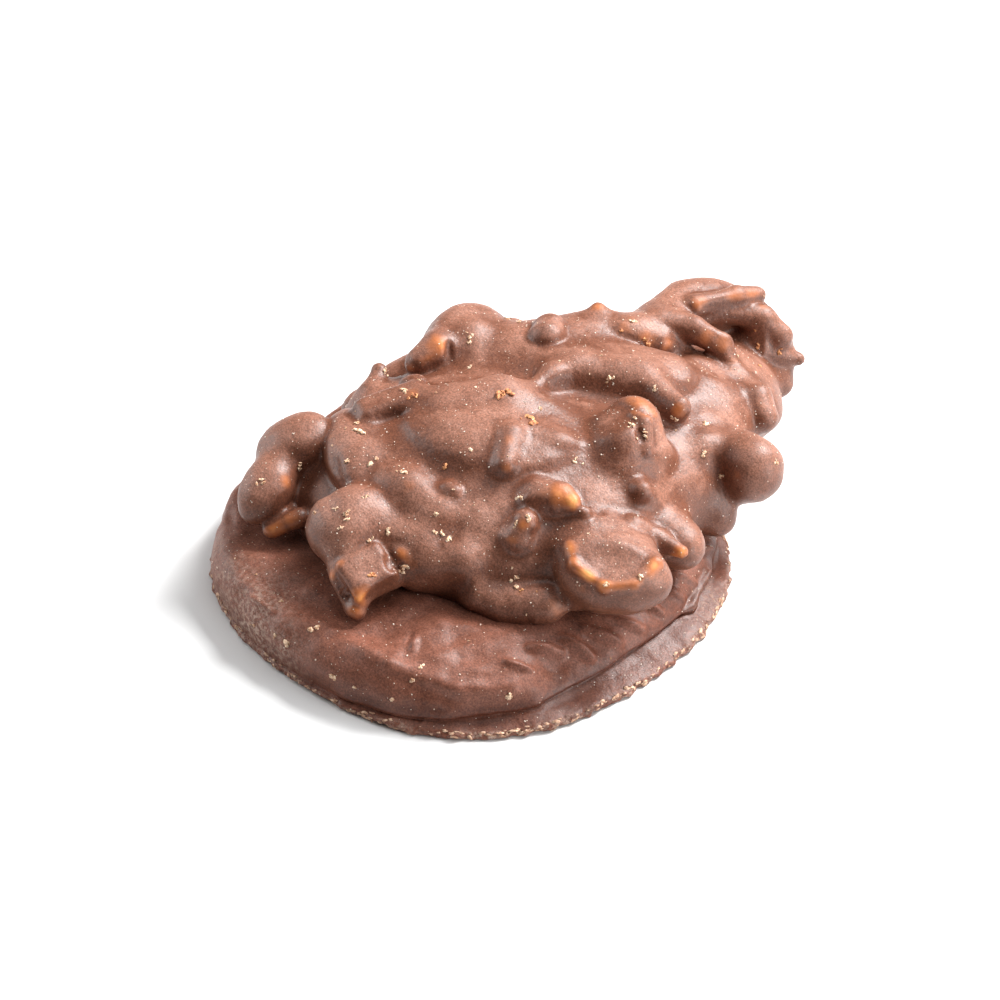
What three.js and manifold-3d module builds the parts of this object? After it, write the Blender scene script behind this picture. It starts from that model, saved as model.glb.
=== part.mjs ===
// A pecan and milk chocolate cluster: a heap of pecan halves and broken pieces under one coat of
// milk chocolate, set with its tail over the edge of a thick round disc of darker chocolate.
// Millimetres, +Z up, +Y along the heap towards its tail, standing on z = 0.
import * as THREE from 'three';
import { mergeVertices } from 'three/addons/utils/BufferGeometryUtils.js';
import Module from 'manifold-3d';

const wasm = await Module();
wasm.setup();

// Driving dimensions of the disc.
const DISC_MIDDLE = new THREE.Vector2(0.2, -13.4);
const DISC_RADIUS = 33;
const DISC_HEIGHT = 7.6;
const DISC_FLAT_RADIUS = 18;
const DISC_STEPS = 100;
const CORNER_OUT = 0.85;
const CORNER_TURN = 47;
const BACK_TURN = 80;
const BACK_ROUNDER = 0.7;
const FOOT_TURN = 0;
const FOOT_WIDE = 3.4;
const FOOT_HEIGHT = 1.05;
const FOOT_RISE = 0.25;
const FOOT_FADE = 5;
const RIM_ROUND = 0.4;
const RIM_BEVEL = 0.3;
const GROOVE_DEPTH = 0.09;
const GROOVE_TALL = 0.9;
const WALL_TURN = 45;
const WALL_LEAN_LEAST = 0.3;
const WALL_LEAN_MOST = 2.8;
const WALL_TOP = 3.2;
const WALL_KNEE = 0.6;
const SHOULDER_LEAST = 0.35;
const SHOULDER_MOST = 1.4;
const SHOULDER_DROPS = [[0.8, 1.8], [2, 0.9], [4, 0.3], [7, 0]];
const RIPPLE_TURN = -5;
const RIPPLE_SPREAD = 28;
const RIPPLE_COUNT = 34;
const RIPPLE_OUT = 0.35;
const RIPPLE_UP = 0.2;
const RIPPLE_SLANT = 0.7;
const RIPPLE_FADE = [2.5, 5];
const RIPPLE_BAND = 1;

// Driving dimensions of the heap.
const SEAT_GAP = 0.3;
const ROOM_DEPTH = 20;
const UNDERSIDE = 3;
const UNDERSIDE_SOFT = 2.5;
const HEAP_START = new THREE.Vector3(-2, -27, 6);
const HEAP_END = new THREE.Vector3(4, 28, 7);
const HEAP_REACH = 48;
const SKIN_ACROSS = 28;
const SKIN_ALONG = 42;
const SKIN_UP = 27;
const SKIN_LIFT = 0.3;
const SHRINK_STEPS = 80;
const SHRINK_SHARE = 0.9;
const SETTLE_ROUNDS = 5;
const SETTLE_SHARE = 0.5;
const SETTLE_STEPS = 2;
const SETTLE_LONGEST = 1;
const LEAST_SLOPE = 0.2;
const FEEL = 0.05;
const TOUCH = 0.01;
const SAME_PLACE = 0.001;
const SPIKE_SIDES = 14;

// The whole stands centred over the origin.
const CENTRE_SHIFT = new THREE.Vector3(-0.2, 1.1, 0);

// A piece lies with its length along a heading in the plan, its far end tilted up by some
// degrees, and blends into its neighbours over the given width of melted chocolate.
function turned(heading, tilt, roll) {
  const axes = new THREE.Euler(
    THREE.MathUtils.degToRad(roll),
    THREE.MathUtils.degToRad(-tilt),
    THREE.MathUtils.degToRad(heading),
    'ZYX',
  );
  return new THREE.Quaternion().setFromEuler(axes);
}

function lump(name, middle, size, heading, tilt, blend) {
  const half = new THREE.Vector3(...size).multiplyScalar(0.5);
  const inverse = turned(heading, tilt, 0).invert();
  const centre = new THREE.Vector3(...middle);
  const gap = (point) => {
    const q = point.clone().sub(centre).applyQuaternion(inverse).divide(half);
    const near = q.length();
    return (near * (near - 1)) / Math.max(q.divide(half).length(), SAME_PLACE);
  };
  return { name, gap, blend };
}

// A hollow is cut out of the pieces before it in the list.
function hollow(...sizes) {
  return { ...lump(...sizes), cut: true };
}

// A ridge is a rounded bar that tapers from its foot to its end.
function ridge(name, foot, footRadius, end, endRadius, blend) {
  const from = new THREE.Vector3(...foot);
  const along = new THREE.Vector3(...end).sub(from);
  const length = along.length();
  along.normalize();
  const slope = (footRadius - endRadius) / length;
  const gap = (point) => {
    const q = point.clone().sub(from);
    const out = Math.sqrt(Math.max(q.lengthSq() - q.dot(along) ** 2, 0));
    const step = THREE.MathUtils.clamp(q.dot(along) + out * slope, 0, length);
    const radius = THREE.MathUtils.lerp(footRadius, endRadius, step / length);
    return Math.hypot(out, q.dot(along) - step) - radius;
  };
  return { name, gap, blend };
}

// A spike is a ridge too sharp for the coat, which is joined to it as a turned shape.
function spike(name, foot, footRadius, end, endRadius, blend) {
  const along = new THREE.Vector3(...end).sub(new THREE.Vector3(...foot));
  const length = along.length();
  along.normalize();
  const shape = () => {
    const arc = (radius, base, first) => [0, 1, 2].map((i) => {
      const angle = first + (i * Math.PI) / 4;
      const out = i === (first < 0 ? 0 : 2) ? 0 : radius * Math.cos(angle);
      return new THREE.Vector2(out, base + radius * Math.sin(angle));
    });
    const profile = [...arc(footRadius, 0, -Math.PI / 2), ...arc(endRadius, length, 0)];
    const cone = new THREE.LatheGeometry(profile, SPIKE_SIDES);
    const up = new THREE.Vector3(0, 1, 0);
    cone.applyQuaternion(new THREE.Quaternion().setFromUnitVectors(up, along));
    return cone.translate(...foot);
  };
  return { ...ridge(name, foot, footRadius, end, endRadius, blend), shape };
}

// The chocolate and nuts in the middle of the heap, as overlapping mounds.
const BODY = [
  lump('body_middle', [-2.5, -7.5, 8], [47.8, 43.8, 25.2], 45, 0, 4),
  lump('body_left', [-10.5, -22, 9], [19.8, 18.8, 11.6], 45, 0, 4),
  lump('body_front', [10, -13.5, 9], [30.8, 20.8, 16.6], 45, 0, 4),
  lump('body_right', [11, -0.8, 9], [21.4, 24.8, 19.1], 45, 0, 4),
  lump('body_right_back', [9.5, 13.5, 9], [21.8, 25.8, 16.1], 45, 0, 6),
  lump('body_back', [-10, 7.5, 10], [31.8, 19.8, 16.6], 45, 0, 4),
  lump('body_tail', [2.5, 26, 8], [24.8, 20.8, 13.1], 80, 0, 6),
];

// The nuts and broken pieces that show, from the left round to the tail, then those behind.
const PIECES = [
  lump('left_low', [-17.6, -32.6, 12.8], [9.9, 6.8, 6.4], 105, 31, 0.9),
  lump('left_up', [-18.3, -26.5, 14.7], [11.3, 9, 7.4], 61, 38, 1.5),
  ridge('left_under', [-14.4, -34.7, 9.6], 1.35, [-12.2, -31.8, 11], 1.35, 0.4),
  lump('left_behind', [-23.5, -26.5, 11], [5, 4, 4], 40, 40, 1.2),
  ridge('front_thumb', [-4.7, -31.6, 13.2], 4.4, [-4, -30.3, 14], 4.2, 1.5),
  ridge('thumb_low', [-2.1, -32.4, 12.6], 3.9, [-0.2, -33.6, 11], 3.4, 1.5),
  ridge('thumb_roof', [-3.8, -27.5, 12.8], 3.4, [4.4, -26.7, 12.3], 2.8, 2.5),
  ridge('chunk_top', [0.7, -35.1, 11], 2.4, [3.5, -31.8, 11.5], 2.6, 1),
  ridge('chunk_tip', [2.9, -34.8, 10.5], 3, [3.5, -36.6, 8.4], 1.5, 1.6),
  ridge('chunk_left', [-0.6, -35.9, 11.2], 1.1, [2.5, -36.8, 8.4], 1.1, 1),
  ridge('chunk_collar', [2.8, -31.4, 14.2], 1.2, [4.7, -30.5, 13.8], 1.2, 0.8),
  ridge('chunk_collar_end', [4.7, -30.5, 13.8], 1.2, [6.3, -30.3, 12.2], 1, 0.8),
  ridge('front_brow', [5.3, -28.4, 10.5], 2, [10.2, -25, 12.7], 2.2, 2),
  lump('oval', [-12.7, -22.2, 15.7], [16.3, 6.6, 6.2], -37, -1, 0.8),
  ridge('arch', [-15.5, -15.9, 18.2], 1.9, [-11.2, -13, 20.4], 1.9, 1),
  lump('small_lip', [-14, -10.2, 19.8], [4, 3, 2.5], 35, 15, 1),
  lump('far_left', [-20.7, -10.4, 13.4], [5.5, 5.4, 5.5], 65, 15, 3),
  ridge('far_left_tip', [-21.4, -10.3, 15.2], 1.8, [-22.6, -8.2, 16.6], 1.1, 1.6),
  ridge('slab', [-18.4, -4.7, 18.4], 2, [-18, -2, 19.4], 2.2, 0.7),
  lump('dome_back', [-19.8, 4.9, 16.8], [12, 8.6, 9.6], 75, 0, 4),
  ridge('nose', [-17.5, 1.7, 18.1], 2.5, [-17.1, 3.1, 19.1], 2.4, 1.6),
  ridge('peg', [-8.3, 9.1, 20], 2.5, [-8.1, 9.1, 21.2], 2.2, 0.4),
  lump('back_dome', [-0.8, 19.3, 19.2], [10.9, 7, 6], 57, -10, 0.5),
  ridge('back_dome_end', [0.1, 22.1, 17.6], 1.9, [2.4, 23.4, 16.4], 1.2, 1.2),
  spike('back_tip', [-8.7, 19.6, 18.4], 1.6, [-8.7, 19.1, 20.4], 0.5, 1.2),
  ridge('long_a', [0.1, -2.3, 20.2], 1.4, [0.2, 1.3, 19.8], 2.3, 2),
  ridge('long_b', [0.2, 1.3, 19.8], 2.3, [1.4, 5.1, 19.3], 2.7, 2),
  ridge('long_c', [1.4, 5.1, 19.3], 2.7, [6.8, 8.2, 19], 2.6, 2),
  ridge('long_d', [6.8, 8.2, 19], 2.6, [13.5, 8.6, 18.6], 1.8, 2),
  lump('back_slope', [-12.8, 6, 17.5], [16.7, 8, 5.4], 53, 3, 4),
  lump('long_back', [1.6, 12.6, 18], [19, 11, 5.4], 42, 0, 3),
  lump('long_back_left', [-6.6, 7.6, 17.8], [12, 9, 5], 35, 0, 3),
  ridge('tall', [11.4, 2.3, 18.9], 4, [11.2, 4.4, 19], 3.6, 1.5),
  ridge('tall_right', [12.8, 4.2, 18.6], 3.2, [15.6, 4.1, 16.5], 2.4, 2),
  ridge('tall_low', [13.9, 0.2, 18.2], 3, [15.5, 1.3, 16.9], 2.6, 2),
  ridge('tall_beak', [13.4, 1.8, 22.8], 1.1, [16.2, 1.1, 22], 1, 0.8),
  ridge('tall_beak_end', [16.2, 1.1, 22], 1, [17.4, -0.9, 21], 1, 0.8),
  lump('plate', [0.4, -9.9, 19.4], [19, 13, 5], 26, -1, 5),
  ridge('plate_edge', [-6.6, -9.7, 19.6], 2.4, [-3.2, -5, 19.9], 2.4, 3),
  ridge('plate_edge_right', [-3.2, -5, 19.9], 2.4, [4.3, -4.4, 19.5], 2.2, 3),
  ridge('snout', [4.8, -6.4, 19.7], 2.6, [7.8, -5.3, 19.6], 2.3, 2),
  ridge('prow', [4.6, -11.2, 21.2], 1.9, [6.9, -14.4, 20.4], 1.6, 1.5),
  ridge('glow', [12.9, -13.2, 18], 2, [15.4, -12.4, 18.1], 1.8, 1.5),
  ridge('glow_tip', [15.4, -12.4, 18.1], 1.8, [17.5, -12.4, 18.4], 0.7, 1.2),
  ridge('small_peg', [13.9, -18.6, 15.6], 2.6, [14.2, -17.6, 17.2], 2.2, 1.5),
  ridge('spine', [-3.4, -23.6, 16.2], 2.3, [-0.9, -23.4, 16.1], 2.3, 2),
  ridge('spine_right', [-0.9, -23.4, 16.2], 2.5, [4.2, -22.9, 15.9], 2, 2.5),
  ridge('front_lobe', [15.3, -22.6, 7.7], 2.9, [19.6, -20, 8.6], 2.5, 2),
  ridge('lobe_tip', [19.6, -20, 8.6], 2.5, [22.6, -17.8, 9.4], 1.1, 1.2),
  ridge('lobe_top', [12.4, -24.4, 8.8], 2.6, [16.6, -21.3, 7.2], 2.6, 2),
  lump('rim_nut', [25.2, -13.6, 11.9], [14.2, 8.8, 8.6], 38, 2, 1.5),
  ridge('rim_back', [19.3, -12.1, 14.3], 2.4, [22.4, -7, 11.6], 2.6, 2.5),
  ridge('rim_left', [18.8, -14.9, 14.5], 1, [21.4, -16.7, 14.2], 1.1, 1),
  ridge('rim_lip', [21.8, -17, 14.6], 1.1, [26.7, -16.8, 13.4], 1.1, 1),
  ridge('rim_lip_right', [27, -17, 13.7], 1.1, [29.3, -14.1, 13.5], 1.1, 1),
  ridge('rim_corner', [29.5, -14.4, 13.8], 1.1, [29.5, -11, 14.3], 1.2, 1),
  ridge('knob', [18.4, -11.6, 16.4], 1.7, [18.4, -12, 17.7], 1, 1.2),
  spike('sliver_a', [20.6, -17.4, 12.6], 0.45, [22.2, -16.7, 12.8], 0.5, 0.4),
  spike('sliver_b', [22.2, -16.7, 12.8], 0.5, [24.3, -17.3, 11.4], 0.45, 0.4),
  ridge('fin', [22, -6.3, 13.4], 2.3, [23.8, -4.2, 11.6], 2.1, 1.5),
  ridge('fin_tip', [23.8, -4.2, 11.6], 2.1, [27.5, -4.3, 12.2], 1.1, 1.5),
  ridge('small_peak', [19.4, -1.7, 14.6], 3, [19.5, -2.4, 17.4], 1.4, 2),
  lump('ball', [22.8, 14.9, 12.2], [8.3, 8.3, 9], 109, 0, 1.4),
  ridge('ball_neck', [17.2, 12.2, 13.6], 2.4, [19.7, 15.6, 13.4], 2.4, 2),
  ridge('right_lip_a', [8.7, 27.8, 13.8], 1.8, [12.4, 28, 12.6], 2, 1.5),
  ridge('right_lip_b', [12.4, 28, 12.6], 2, [14.8, 26.5, 11], 1.7, 1.5),
  ridge('curl_a', [-1.8, 24.3, 18.8], 1.4, [1.8, 26.8, 18.2], 1.7, 1),
  ridge('curl_b', [1.8, 26.8, 18.2], 1.7, [5.4, 28.4, 16.6], 1.7, 1),
  ridge('curl_c', [5.4, 28.4, 16.6], 1.7, [8.2, 28.1, 14], 1.1, 1),
  lump('tail_top', [-3.3, 35.4, 15.4], [12, 8.5, 7.5], 64, -9, 2),
  lump('tail_root', [-3, 27, 16.6], [10, 7, 6], -80, 10, 2.5),
  ridge('tail_ridge', [-1.7, 31.1, 18], 2, [0.2, 37, 17.4], 1.9, 0.8),
  ridge('tail_ridge_end', [0.2, 37, 17.4], 1.9, [1.1, 40.4, 16.6], 1.5, 0.8),
  ridge('tail_ridge_corner', [0.7, 40, 16.6], 1.3, [0.2, 42.5, 16.2], 0.5, 0.8),
  ridge('tail_ridge_low', [1, 40.5, 16], 1.3, [2.2, 40.9, 15.2], 0.6, 0.8),
  ridge('tail_crest', [-1.2, 31.9, 15.4], 2.2, [0.5, 36.4, 15.2], 2.6, 1.5),
  ridge('tail_crest_mid', [0.5, 36.4, 15.2], 2.6, [2.9, 39.4, 13.6], 2.8, 1.5),
  ridge('tail_crest_end', [2.9, 39.4, 13.6], 2.8, [5.5, 40.2, 12], 2.2, 1.5),
  ridge('tail_bulk', [-0.5, 34.2, 10], 4.5, [3.9, 38.6, 9], 4.5, 3),
  ridge('tail_low_right', [3.2, 37.9, 8], 4.2, [7.1, 38.3, 6.5], 2.5, 2),
  ridge('tail_shoulder', [4.1, 38.6, 12.6], 2.6, [5, 41.3, 12.2], 1.4, 1.5),
  spike('tail_tip', [5.7, 38.5, 10.6], 2.8, [8.7, 41.2, 9.6], 0.8, 1.5),
  ridge('tail_end', [3, 37.4, 11], 4, [5.4, 39.3, 10.4], 3, 2),
  lump('back_tip_body', [-8, 14.5, 16.9], [18, 9, 6.6], -125, 0, 3),
  lump('back_edge', [-6.8, 18.5, 16.8], [17, 6, 6], 54, -4, 2.5),
  lump('back_long', [-24, 0, 11], [15, 7, 6.5], 80, 0, 1.8),
  lump('back_low', [-25.6, -7.4, 9], [8, 6, 5], 65, 10, 1.5),
  lump('back_round', [-20, 13.5, 11.5], [8, 7.5, 7.5], 50, 10, 1.8),
  lump('back_crossed', [-14, 21, 11], [11, 6, 6], 20, 15, 1.6),
  lump('back_foot', [-18.5, 19, 9], [8, 6, 5], 60, 0, 1.5),
  lump('tail_side', [-9, 30.5, 10.5], [9.5, 6.5, 6], 75, 10, 1.8),
  lump('tail_low', [-3, 38, 8], [8, 7, 6], 120, 5, 2),
  lump('tail_under', [6, 31, 6.5], [11, 7, 6], 60, 0, 2),
  ridge('tail_back', [-4.8, 26.4, 16], 2.6, [-4.8, 31.9, 16], 3, 3),
  lump('under_ball', [21.1, 10.3, 6], [5, 5, 5.6], 60, 0, 3),
  hollow('under_brow', [9.4, -31.8, 10.8], [12.1, 4, 5], 56, -4, 1.5),
  hollow('rim_dish', [26, -14.7, 16.7], [10.6, 5.6, 4.4], 29, 0, 1),
  hollow('curl_hole', [6.4, 23.7, 17.7], [6.9, 1.8, 3.4], 24, -26, 0.6),
];

const HEAP = [...BODY, ...PIECES];

// Joins the corners that share a place, so that a shape is one closed surface.
function closed(shape) {
  shape.deleteAttribute('normal');
  shape.deleteAttribute('uv');
  return mergeVertices(shape, SAME_PLACE);
}

function softMin(a, b, width) {
  const h = Math.max(width - Math.abs(a - b), 0) / width;
  return Math.min(a, b) - (h * h * width) / 4;
}

function softMax(a, b, width) {
  return -softMin(-a, -b, width);
}

// Distance from a point to the heap's blended surface, less than nothing inside.
function heapGap(point) {
  let gap = HEAP_REACH;
  HEAP.forEach((piece) => {
    const own = piece.gap(point);
    gap = piece.cut ? softMax(gap, -own, piece.blend) : softMin(gap, own, piece.blend);
  });
  return softMax(gap, UNDERSIDE - point.z, UNDERSIDE_SOFT);
}

// Moves a point on to the coat along the way out of the heap, in a few steps.
function settle(point) {
  const probe = new THREE.Vector3();
  for (let round = 0; round < SETTLE_STEPS; round += 1) {
    const gap = heapGap(point);
    const out = new THREE.Vector3(
      heapGap(probe.copy(point).setX(point.x + FEEL)) - gap,
      heapGap(probe.copy(point).setY(point.y + FEEL)) - gap,
      heapGap(probe.copy(point).setZ(point.z + FEEL)) - gap,
    ).divideScalar(FEEL);
    const steep = Math.max(out.lengthSq(), LEAST_SLOPE);
    const step = THREE.MathUtils.clamp(-gap / steep, -SETTLE_LONGEST, SETTLE_LONGEST);
    point.addScaledVector(out, step);
  }
}

function neighbours(geometry) {
  const index = geometry.getIndex();
  const near = Array.from({ length: geometry.getAttribute('position').count }, () => new Set());
  for (let i = 0; i < index.count; i += 3) {
    for (let j = 0; j < 3; j += 1) {
      const here = index.getX(i + j);
      near[here].add(index.getX(i + ((j + 1) % 3)));
      near[here].add(index.getX(i + ((j + 2) % 3)));
    }
  }
  return near;
}

// Splits each four-sided face of the skin along its shorter diagonal.
function splitShort(index, points) {
  for (let i = 0; i < index.length; i += 6) {
    const [a, b, d, , c] = index.subarray(i, i + 5);
    if (points[a].distanceTo(points[c]) < points[b].distanceTo(points[d])) {
      index.set([a, b, c, a, c, d], i);
    }
  }
}

// The coat is a block drawn out along the heap, rounded, and shrunk on to the pieces. Then it
// settles: each point moves towards the middle of its neighbours and back on to the pieces.
function heapSkin() {
  const crate = new THREE.BoxGeometry(2, 2, 2, SKIN_ACROSS, SKIN_ALONG, SKIN_UP);
  const skin = closed(crate);
  const position = skin.getAttribute('position');
  const way = new THREE.Vector3();
  const points = [];
  for (let i = 0; i < position.count; i += 1) {
    way.fromBufferAttribute(position, i).multiplyScalar(Math.PI / 4);
    way.set(Math.tan(way.x), Math.tan(way.y), Math.tan(way.z)).normalize();
    const start = HEAP_START.clone().lerp(HEAP_END, (way.y + 1) / 2);
    way.z += SKIN_LIFT;
    way.normalize();
    const point = new THREE.Vector3();
    let reach = HEAP_REACH;
    for (let step = 0; step < SHRINK_STEPS; step += 1) {
      point.copy(start).addScaledVector(way, reach);
      const gap = heapGap(point);
      if (gap < TOUCH) break;
      reach -= gap * SHRINK_SHARE;
    }
    points.push(point);
  }
  const near = neighbours(skin);
  for (let round = 0; round < SETTLE_ROUNDS; round += 1) {
    const before = points.map((point) => point.clone());
    points.forEach((point, i) => {
      const middle = new THREE.Vector3();
      near[i].forEach((j) => middle.add(before[j]));
      point.lerp(middle.divideScalar(near[i].size), SETTLE_SHARE);
      settle(point);
    });
  }
  points.forEach((point, i) => position.setXYZ(i, point.x, point.y, point.z));
  splitShort(skin.getIndex().array, points);
  return skin;
}

// The disc is a little squared, with corners in four places, and rounder at its back.
function discRadius(turn) {
  const corner = Math.cos(4 * (turn - THREE.MathUtils.degToRad(CORNER_TURN)));
  const back = Math.max(Math.cos(turn - THREE.MathUtils.degToRad(BACK_TURN)), 0);
  return DISC_RADIUS + CORNER_OUT * corner * (1 - BACK_ROUNDER * back * back);
}

// How much a feature shows on the side of the disc that faces the given turn: one there, none
// on the far side.
function facing(turn, degrees) {
  return 0.5 + 0.5 * Math.cos(turn - THREE.MathUtils.degToRad(degrees));
}

// Pinched ripples where the disc crept outwards under the heap's front right side.
function ripple(turn, height) {
  const away = (THREE.MathUtils.radToDeg(turn) - RIPPLE_TURN) / RIPPLE_SPREAD;
  const patch = Math.exp(-away * away) * THREE.MathUtils.smoothstep(height, ...RIPPLE_FADE);
  return patch * Math.sin(turn * RIPPLE_COUNT + height * RIPPLE_SLANT);
}

// The disc's half section at one turn: under it, round the thin rim, over the foot to the
// groove, up the leaning side and over the shoulder. It is grown by a gap for the room that the
// heap leaves. The foot is widest at the right, where the side leans most, and is gone at the
// left, where the side stands upright and the shoulder is sharp.
function discSection(turn, grow, low) {
  const rim = discRadius(turn) + grow;
  const foot = FOOT_WIDE * facing(turn, FOOT_TURN) ** FOOT_FADE;
  const leaning = facing(turn, WALL_TURN) ** 2;
  const round = THREE.MathUtils.lerp(SHOULDER_LEAST, SHOULDER_MOST, facing(turn, FOOT_TURN));
  const groove = rim - RIM_ROUND - foot;
  const shoulder = groove - THREE.MathUtils.lerp(WALL_LEAN_LEAST, WALL_LEAN_MOST, leaning);
  const footTop = FOOT_HEIGHT + FOOT_RISE * foot + grow;
  const top = DISC_HEIGHT + grow;
  const section = [
    [0, low],
    [rim - RIM_ROUND, low],
    [rim, Math.min(low + RIM_ROUND, RIM_ROUND)],
    [rim, FOOT_HEIGHT - RIM_BEVEL + grow],
    [rim - RIM_BEVEL, FOOT_HEIGHT + grow],
    [groove, footTop],
    [groove - GROOVE_DEPTH * foot, footTop + GROOVE_TALL / 3],
    [groove, footTop + GROOVE_TALL],
    [THREE.MathUtils.lerp(groove, shoulder, WALL_KNEE), top - WALL_TOP],
    ...SHOULDER_DROPS.map(([inwards, drop]) => [
      Math.max(shoulder - inwards * round, DISC_FLAT_RADIUS + 1),
      top - drop,
    ]),
    [DISC_FLAT_RADIUS, top],
    [0, top],
  ];
  return section.map(([r, z]) => {
    const wave = r > DISC_FLAT_RADIUS ? ripple(turn, z) : 0;
    const lift = z > top - RIPPLE_BAND ? wave * RIPPLE_UP : 0;
    return new THREE.Vector2(r + wave * RIPPLE_OUT, z + lift);
  });
}

function discShape(grow, low) {
  const stations = discSection(0, grow, low);
  const disc = new THREE.LatheGeometry(stations, DISC_STEPS);
  disc.rotateX(Math.PI / 2);
  const position = disc.getAttribute('position');
  for (let step = 0; step <= DISC_STEPS; step += 1) {
    const first = step * stations.length;
    const turn = Math.atan2(position.getY(first + 1), position.getX(first + 1));
    discSection(turn, grow, low).forEach((at, j) => {
      const x = DISC_MIDDLE.x + at.x * Math.cos(turn);
      const y = DISC_MIDDLE.y + at.x * Math.sin(turn);
      position.setXYZ(first + j, x, y, at.y);
    });
  }
  return closed(disc);
}

function toSolid(geometry) {
  const vertProperties = new Float32Array(geometry.getAttribute('position').array);
  const triVerts = new Uint32Array(geometry.getIndex().array);
  return new wasm.Manifold(new wasm.Mesh({ numProp: 3, vertProperties, triVerts }));
}

function toGeometry(solid) {
  const { vertProperties, triVerts } = solid.getMesh();
  const geometry = new THREE.BufferGeometry();
  geometry.setAttribute('position', new THREE.BufferAttribute(vertProperties, 3));
  geometry.setIndex(new THREE.BufferAttribute(triVerts, 1));
  geometry.computeVertexNormals();
  return geometry;
}

const part = new THREE.Group();
part.name = 'pecan_cluster';

function addNode(name, geometry, colour, roughness) {
  const material = new THREE.MeshStandardMaterial({ color: colour, roughness, metalness: 0 });
  const mesh = new THREE.Mesh(geometry, material);
  mesh.name = name;
  mesh.position.copy(CENTRE_SHIFT);
  part.add(mesh);
}

addNode('base', discShape(0, 0), 0x4a2a20, 0.4);

const room = toSolid(discShape(SEAT_GAP, -ROOM_DEPTH));
let heap = toSolid(heapSkin());
PIECES.filter((piece) => piece.shape).forEach((piece) => {
  heap = heap.add(toSolid(closed(piece.shape())));
});
heap = heap.subtract(room);
addNode('cluster', toGeometry(heap), 0x6b4436, 0.5);

export default part;
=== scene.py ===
from collections import namedtuple
from math import cos, pi, radians, sin

import bmesh
import bpy
import numpy as np
from mathutils import Euler, Matrix, Vector
from mathutils.bvhtree import BVHTree


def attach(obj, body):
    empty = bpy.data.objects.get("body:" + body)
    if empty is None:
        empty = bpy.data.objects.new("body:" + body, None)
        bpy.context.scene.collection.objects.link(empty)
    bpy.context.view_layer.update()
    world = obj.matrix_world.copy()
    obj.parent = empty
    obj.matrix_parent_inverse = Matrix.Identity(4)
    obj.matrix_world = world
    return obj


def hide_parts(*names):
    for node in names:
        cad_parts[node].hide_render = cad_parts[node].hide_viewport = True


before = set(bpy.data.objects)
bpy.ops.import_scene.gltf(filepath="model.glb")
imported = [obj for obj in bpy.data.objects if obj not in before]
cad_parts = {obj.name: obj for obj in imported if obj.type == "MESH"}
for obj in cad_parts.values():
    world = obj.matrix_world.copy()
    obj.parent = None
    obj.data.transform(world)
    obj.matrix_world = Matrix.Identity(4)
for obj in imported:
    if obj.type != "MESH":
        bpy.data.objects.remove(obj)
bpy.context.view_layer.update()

# The disc: a thick round pad of dark milk chocolate, poured and left to set on a flat sheet. It
# crept outwards at the right while it was soft, which left a thin foot with a torn rim, a groove
# above it and pinched ripples up the side. At the left it was cut off upright and sharp.
# Sizes and places are in millimetres, and CENTRE moves them to the frame's own middle.
MM = 0.001
CENTRE = np.array((-0.2, 1.1, 0.0))
DISC_MIDDLE = np.array((0.2, -13.4, 0.0))
DISC_RADIUS = 33.0
DISC_HEIGHT = 7.6
DISC_FLAT_RADIUS = 18.0
CORNER_OUT, CORNER_TURN = 0.85, 47
BACK_TURN, BACK_ROUNDER = 80, 0.7
FOOT_WIDE, FOOT_HEIGHT, FOOT_RISE, FOOT_TURN = 3.4, 1.05, 0.25, 0
RIM_ROUND, RIM_BEVEL = 0.4, 0.3
GROOVE_DEPTH, GROOVE_TALL = 0.09, 0.9
WALL_LEAN_LEAST, WALL_LEAN_MOST, WALL_TURN, WALL_TOP, WALL_BELLY = 0.3, 2.8, 45, 3.2, 0.6
SHOULDER_LEAST, SHOULDER_MOST = 0.35, 1.4
SHOULDER_DROPS = ((0.8, 1.8), (2, 0.9), (4, 0.3), (7, 0))
DISC_STEPS, DISC_ROWS = 760, 96
KEY_ROWS, KEY_STATIONS = (0, 2, 12, 60, 88, DISC_ROWS), (0, 1, 5, 10, 13, 14)


def share(turn, degrees):
    """One on the side of the disc at that turn, none on the far side."""
    return 0.5 + 0.5 * np.cos(turn - radians(degrees))


def section(turn):
    """The disc's half section at each turn, as columns of radius and height."""
    back = np.clip(np.cos(turn - radians(BACK_TURN)), 0, 1)
    corner = CORNER_OUT * np.cos(4 * (turn - radians(CORNER_TURN)))
    rim = DISC_RADIUS + corner * (1 - BACK_ROUNDER * back * back)
    foot = FOOT_WIDE * share(turn, FOOT_TURN) ** 5
    lean = WALL_LEAN_LEAST + (WALL_LEAN_MOST - WALL_LEAN_LEAST) * share(turn, WALL_TURN) ** 2
    bend = SHOULDER_LEAST + (SHOULDER_MOST - SHOULDER_LEAST) * share(turn, FOOT_TURN)
    groove = rim - RIM_ROUND - foot
    shoulder = groove - lean
    foot_top = FOOT_HEIGHT + FOOT_RISE * foot
    flat = np.zeros_like(turn)
    stations = [
        (flat, flat),
        (rim - RIM_ROUND, flat),
        (rim, flat + RIM_ROUND),
        (rim, flat + FOOT_HEIGHT - RIM_BEVEL),
        (rim - RIM_BEVEL, flat + FOOT_HEIGHT),
        (groove, foot_top),
        (groove - GROOVE_DEPTH * foot, foot_top + GROOVE_TALL / 3),
        (groove, foot_top + GROOVE_TALL),
        (groove + WALL_BELLY * (shoulder - groove), flat + DISC_HEIGHT - WALL_TOP),
    ]
    for inwards, drop in SHOULDER_DROPS:
        radius = np.maximum(shoulder - inwards * bend, DISC_FLAT_RADIUS + 1)
        stations.append((radius, flat + DISC_HEIGHT - drop))
    stations += [(flat + DISC_FLAT_RADIUS, flat + DISC_HEIGHT), (flat, flat + DISC_HEIGHT)]
    return np.array(stations)


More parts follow.
